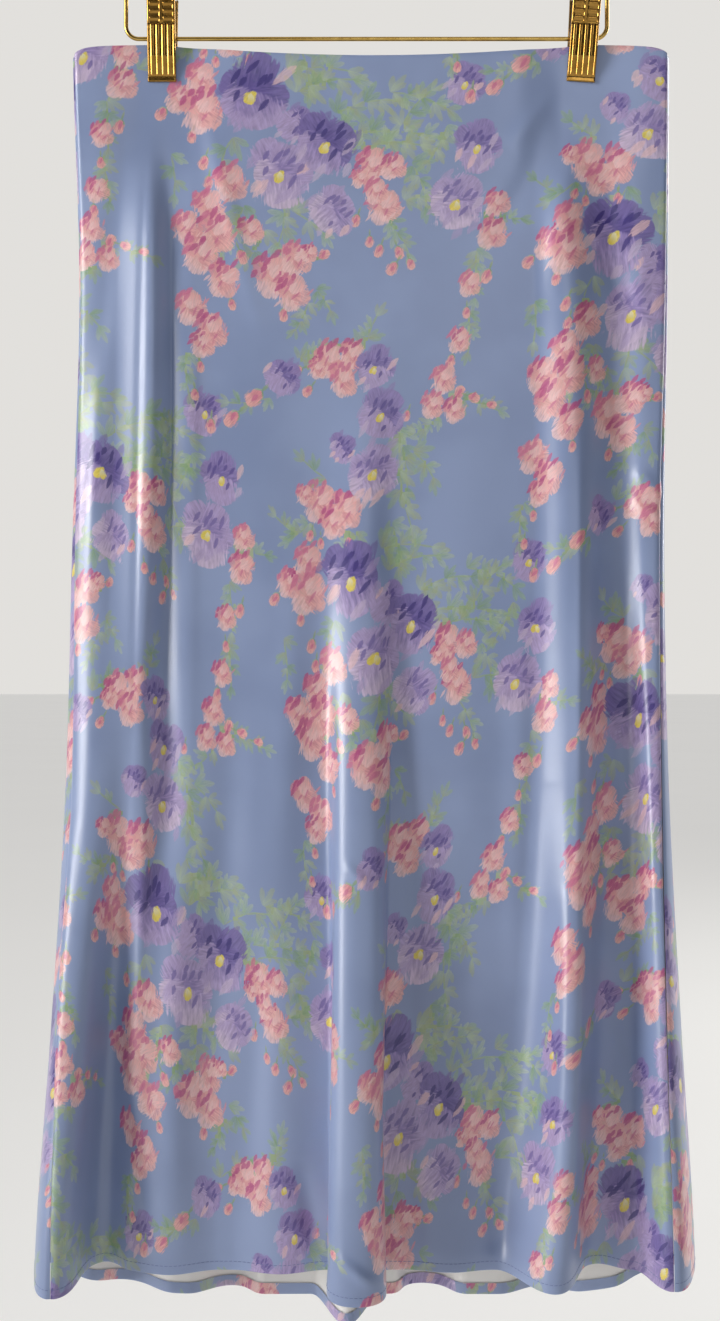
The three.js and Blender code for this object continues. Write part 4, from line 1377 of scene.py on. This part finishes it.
def jaw_relief(x, height):
    """How far the plate stands out: lip, ribs, bars between rails, and the top edge."""
    inside = np.clip((JAW_HALF_WIDTH - np.abs(x)) / 1.1, 0, 1)
    ribs = np.cos(np.pi * (x / JAW_HALF_WIDTH * 5 + 1) / 2) ** 2
    rib_ends = fade(-height, -LIP_TOP - 1.6, -LIP_TOP) * fade(height, RIBS_TOP - 1.6, RIBS_TOP)
    phase = (height - BAR_FIRST) / BAR_PITCH
    bars = np.clip(np.cos(2 * np.pi * phase) * 1.6 + 0.1, 0, 1)
    rails = 0.7 * np.clip(np.maximum((np.abs(x) - 7.9) / 0.5, (1.5 - np.abs(x)) / 0.5), 0, 1)
    grip = fade(-height, -RIBS_TOP - 1.5, -RIBS_TOP) * fade(height, BARS_TOP - 1, BARS_TOP)
    bars = np.maximum(bars * (rails == 0), rails) * grip
    lip = np.clip((LIP_TOP - height) / 0.5, 0, 1) + np.clip((height - BARS_TOP) / 0.5, 0, 1)
    soft = np.where(lip > 0, 1, inside ** 0.5)
    return RIB_HEIGHT * soft * np.maximum(np.maximum(ribs ** 0.35 * rib_ends, bars), lip)


def jaw_plate(side):
    """The relief and the flat back of one jaw, closed round their border."""
    rows, columns = JAW_GRID
    widths = np.linspace(-1, 1, columns) * JAW_HALF_WIDTH
    x, height = np.meshgrid(widths, np.linspace(JAW_FOOT, JAW_HEAD, rows))
    gap = np.interp(height, *zip(*JAW_LINE))
    ends = np.minimum(height - JAW_FOOT, JAW_HEAD - height)
    round_off = 0.25 * (np.exp(-ends / 0.25) + np.exp(-(JAW_HALF_WIDTH - np.abs(x)) / 0.25))
    face = gap + JAW_THICKNESS + jaw_relief(x, height) - round_off
    outer = np.stack([x, side * face, height], -1)
    inner = np.stack([x, side * (gap + round_off * 0.5), height], -1)
    index = np.arange(rows * columns).reshape(rows, columns)
    total = rows * columns
    quads = grid_faces(index)[:, [0, 3, 2, 1]]
    if side > 0:
        quads = quads[:, ::-1]
    faces = [tuple(quad) for quad in quads.tolist()]
    faces += [tuple(total + i for i in quad[::-1]) for quad in quads.tolist()]
    border = [*index[0, :-1], *index[:-1, -1], *index[-1, :0:-1], *index[:0:-1, 0]]
    for a, b in zip(border, border[1:] + border[:1]):
        face = (int(a), int(a) + total, int(b) + total, int(b))
        faces.append(face if side < 0 else face[::-1])
    return np.concatenate([outer.reshape(-1, 3), inner.reshape(-1, 3)]), faces


print("faces of a jaw's plate:", len(jaw_plate(1)[1]))

# %% [markdown]
# A flat plate would bend, so the jaw's edges are turned back. Two ears of the same
# plate go round the bar, and they let the jaw turn.

# %% Jaw ears and flanges
EAR_RADIUS, EAR_HOLE = 3.5, 2.6


def jaw_ears(side, inner_gap):
    """Two tongues from the plate that go round the bar, each 1 mm thick."""
    half_turn = np.linspace(-math.pi / 2, math.pi / 2, 17)[1:-1]
    rim = [(side * 8, -EAR_RADIUS), (0, -EAR_RADIUS)]
    rim += [(-side * EAR_RADIUS * math.cos(a), EAR_RADIUS * math.sin(a)) for a in half_turn]
    rim += [(0, EAR_RADIUS), (side * 8, 7.5)]
    full_turn = np.linspace(0, 2 * math.pi, 24, endpoint=False)
    hole = [(EAR_HOLE * math.cos(a), EAR_HOLE * math.sin(a)) for a in full_turn]
    outline = np.array(rim)
    nearest = [int(np.argmin([math.hypot(h[0] - p[0], h[1] - p[1]) for h in hole])) for p in rim]
    ring = np.array(hole)[nearest]
    parts = []
    for start in (inner_gap, -inner_gap - 1):
        layers = [np.column_stack([np.full(len(line), start + depth), line])
                  for depth in (0, 1) for line in (outline, ring)]
        n = len(rim)
        faces = []
        for i in range(n):
            j = (i + 1) % n
            faces.append((i, j, n + j, n + i))
            faces.append((2 * n + i, 3 * n + i, 3 * n + j, 2 * n + j))
            faces.append((i, 2 * n + i, 2 * n + j, j))
            faces.append((n + i, n + j, 3 * n + j, 3 * n + i))
        parts.append((np.concatenate(layers), faces))
    return parts


def jaw_flanges(side):
    """The plate's two edges, turned back by 3 mm so that the jaw is stiff."""
    heights = np.linspace(-25, 30.6, 40)
    gap = np.interp(heights, *zip(*JAW_LINE))
    depth = np.minimum(3.0, np.maximum(gap - 1.9, 0.2))
    parts = []
    for start in (-JAW_HALF_WIDTH + 0.05, JAW_HALF_WIDTH - 0.95):
        edges = []
        for wide, deep in ((0, 0), (0.9, 0), (0.9, 1), (0, 1)):
            back = side * (gap + 0.1 - depth * deep)
            edges.append(np.column_stack([np.full(40, start + wide), back, heights]))
        points = np.stack(edges, 1).reshape(-1, 3)
        faces = [(4 * r + s, 4 * r + (s + 1) % 4, 4 * r + 4 + (s + 1) % 4, 4 * r + 4 + s)
                 for r in range(39) for s in range(4)]
        parts.append((points, faces + [(3, 2, 1, 0), (156, 157, 158, 159)]))
    return parts


print("ears and flanges of a jaw:", len(jaw_ears(1, 7)) + len(jaw_flanges(1)))

# %% [markdown]
# The two clips are the same, so their jaws are made by the same functions, about the
# bar's middle, and then moved to their places. The right clip hangs at a slight
# slant, as in the photograph.

# %% Clips in place
CLIP_TILT = {"left": 0, "right": 3.6}


def placed(parts, side):
    """Parts about the bar's middle, tilted and moved to a clip's place."""
    turn = math.radians(CLIP_TILT[side])
    cosine, sine = math.cos(turn), math.sin(turn)
    matrix = np.array([[cosine, 0, sine], [0, 1, 0], [-sine, 0, cosine]])
    where = np.array([CLIP_X[side], 0, -BAR_DROP])
    return [(np.asarray(points) @ matrix.T + where, faces) for points, faces in parts]


JAWS = (("front", -1, 8.6), ("back", 1, 7.3))  # word, side of the bar, half gap of its ears
clip_brass = brass_material("clip_brass", linear(172, 132, 66), 0.2)
for side in CLIP_TILT:
    for word, way, inner_gap in JAWS:
        parts = placed([jaw_plate(way), *jaw_flanges(way), *jaw_ears(way, inner_gap)], side)
        jaw = joined_piece(f"{side}_clip_{word}_jaw", parts, clip_brass)
        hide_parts(f"clip_{side}_{word}_jaw")

# %% [markdown]
# The spring that closes a clip is a few turns of thin wire round the bar. Its two
# ends press the jaws' upper halves apart. It lies in the ears, out of the front
# view, and it can be seen from the side and from below.

# %% Clip springs
SPRING_WIRE, SPRING_RADIUS, SPRING_HALF, SPRING_TURNS = 0.95, 2.4, 6, 7
SPRING_LEG = [(6.4, 13), (4.5, 7), (2.9, 2.4)]  # behind the bar and above it


def spring_path():
    """A leg, the coils round the bar and the other leg."""
    turns = np.linspace(0, 2 * math.pi * SPRING_TURNS, 24 * SPRING_TURNS + 1)
    coil = np.column_stack([np.linspace(-SPRING_HALF, SPRING_HALF, len(turns)),
                            SPRING_RADIUS * np.cos(turns), SPRING_RADIUS * np.sin(turns)])
    first = [(-SPRING_HALF, back, up) for back, up in SPRING_LEG]
    last = [(SPRING_HALF, -back, up) for back, up in reversed(SPRING_LEG)]
    start = [(-SPRING_HALF, SPRING_RADIUS, 0.5)]
    return np.vstack([first, start, coil[1:-12], last])


spring_line = spring_path()
along_bar = np.tile([1.0, 0, 0], (len(spring_line), 1))
coils = tube_arrays(spring_line, SPRING_WIRE / 2, 8, across=along_bar)
for side in CLIP_TILT:
    spring = joined_piece(f"{side}_clip_coils", placed([coils], side), wire_brass)
    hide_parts(f"clip_{side}_spring")

# %% [markdown]
# The stage is a plain pale floor. It glows a little, so that it stays as pale far
# away as the world behind it.

# %% Stage floor
FLOOR_DROP = 1240
FLOOR_REACH = 30.0  # in metres, like the lamps' places and sizes
FLOOR_TONES = ((0.40, 0.395, 0.385, 1), (0.44, 0.435, 0.425, 1))


def stage_floor():
    """A wide floor, attached to no body, so it is no part of the skirt."""
    mesh = bpy.data.meshes.new("floor")
    corners = ((-1, -1), (1, -1), (1, 1), (-1, 1))
    mesh.from_pydata([(x * FLOOR_REACH, y * FLOOR_REACH, -FLOOR_DROP * MM) for x, y in corners],
                     [], [(0, 1, 2, 3)])
    floor = new_object("floor", mesh)
    material, tree, shader = new_material("pale_floor", 0.8, 0.2)
    cloud = noise_node(tree, object_place(tree), 1.5)
    tree.links.new(mix_colours(tree, cloud, *FLOOR_TONES), shader.inputs["Base Color"])
    shader.inputs["Emission Color"].default_value = (0.8, 0.79, 0.77, 1)
    shader.inputs["Emission Strength"].default_value = 0.62
    mesh.materials.append(material)


stage_floor()

# %% [markdown]
# Satin needs large soft lamps. The key lamp stands far to the left, because the
# folds in the photograph are light on their left sides and throw broad soft shadows
# to the right. Its light is narrow, so it fades towards the hem. A tall lamp beside
# it shows only as a reflection on the satin's ridges.

# %% Lamps
MIDDLE = (0, 0, -0.62)
LAMPS = [
    # name, place, target, size, watts, colour, spread in degrees
    ("key", (-3.3, -1.55, 0.45), (0, 0, -0.15), (1.2, 2.8), 14, (1.0, 0.99, 0.97), 52),
    ("window", (-2.9, -2.1, -0.6), (0, 0, -0.8), (0.5, 2.4), 26, (1.0, 0.98, 0.95), 180),
    ("behind", (2.6, 1.7, 0.5), MIDDLE, (0.9, 2.0), 62, (1.0, 0.99, 0.97), 180),
    ("fill", (0.3, -2.6, 0.4), MIDDLE, (0.8, 0.8), 4, (1, 1, 1), 180),
    ("top", (0.0, -0.2, 1.4), MIDDLE, (1.2, 0.8), 4, (1, 1, 1), 180),
]


def soft_lamp(name, place, target, size, watts, colour, spread):
    """A rectangular lamp that faces its target."""
    data = bpy.data.lights.new(name, "AREA")
    data.shape = "RECTANGLE"
    data.size, data.size_y = size
    data.energy = watts
    data.spread = math.radians(spread)
    data.color = colour
    lamp = new_object(name, data)
    lamp.location = place
    way = [t - p for t, p in zip(target, place)]
    flat = math.hypot(way[0], way[1])
    lamp.rotation_euler = (math.atan2(flat, -way[2]), 0, math.atan2(-way[0], way[1]))
    return lamp


lamps = {row[0]: soft_lamp(*row) for row in LAMPS}
lamps["window"].visible_diffuse = False
print("lamps:", ", ".join(lamps))

# %% [markdown]
# The world is a pale room. It lights from the sides and from behind, and the camera
# sees one even tone.

# %% World
WORLD_SEEN = (0.76, 0.745, 0.72, 1)


def pale_world():
    """A pale room. It lights from the sides and from behind, and is dim near the camera."""
    world = bpy.data.worlds.new("pale_studio")
    world.use_nodes = True
    tree = world.node_tree
    shown = tree.nodes["Background"]
    shown.inputs["Color"].default_value = WORLD_SEEN
    lit = tree.nodes.new("ShaderNodeBackground")
    place = tree.nodes.new("ShaderNodeTexCoord")
    way = tree.nodes.new("ShaderNodeSeparateXYZ")
    tree.links.new(place.outputs["Generated"], way.inputs[0])
    behind = smooth_step(tree, way.outputs["Y"], -0.5, 0.5, 0.04, 0.5)
    left = smooth_step(tree, way.outputs["X"], -0.9, 0.2, 0.2, 0.0)
    tree.links.new(math_node(tree, "ADD", behind, left), lit.inputs["Strength"])
    path = tree.nodes.new("ShaderNodeLightPath")
    either = tree.nodes.new("ShaderNodeMixShader")
    tree.links.new(path.outputs["Is Camera Ray"], either.inputs[0])
    tree.links.new(lit.outputs[0], either.inputs[1])
    tree.links.new(shown.outputs[0], either.inputs[2])
    tree.links.new(either.outputs[0], tree.nodes["World Output"].inputs["Surface"])
    bpy.context.scene.world = world


pale_world()
print("world:", bpy.context.scene.world.name)
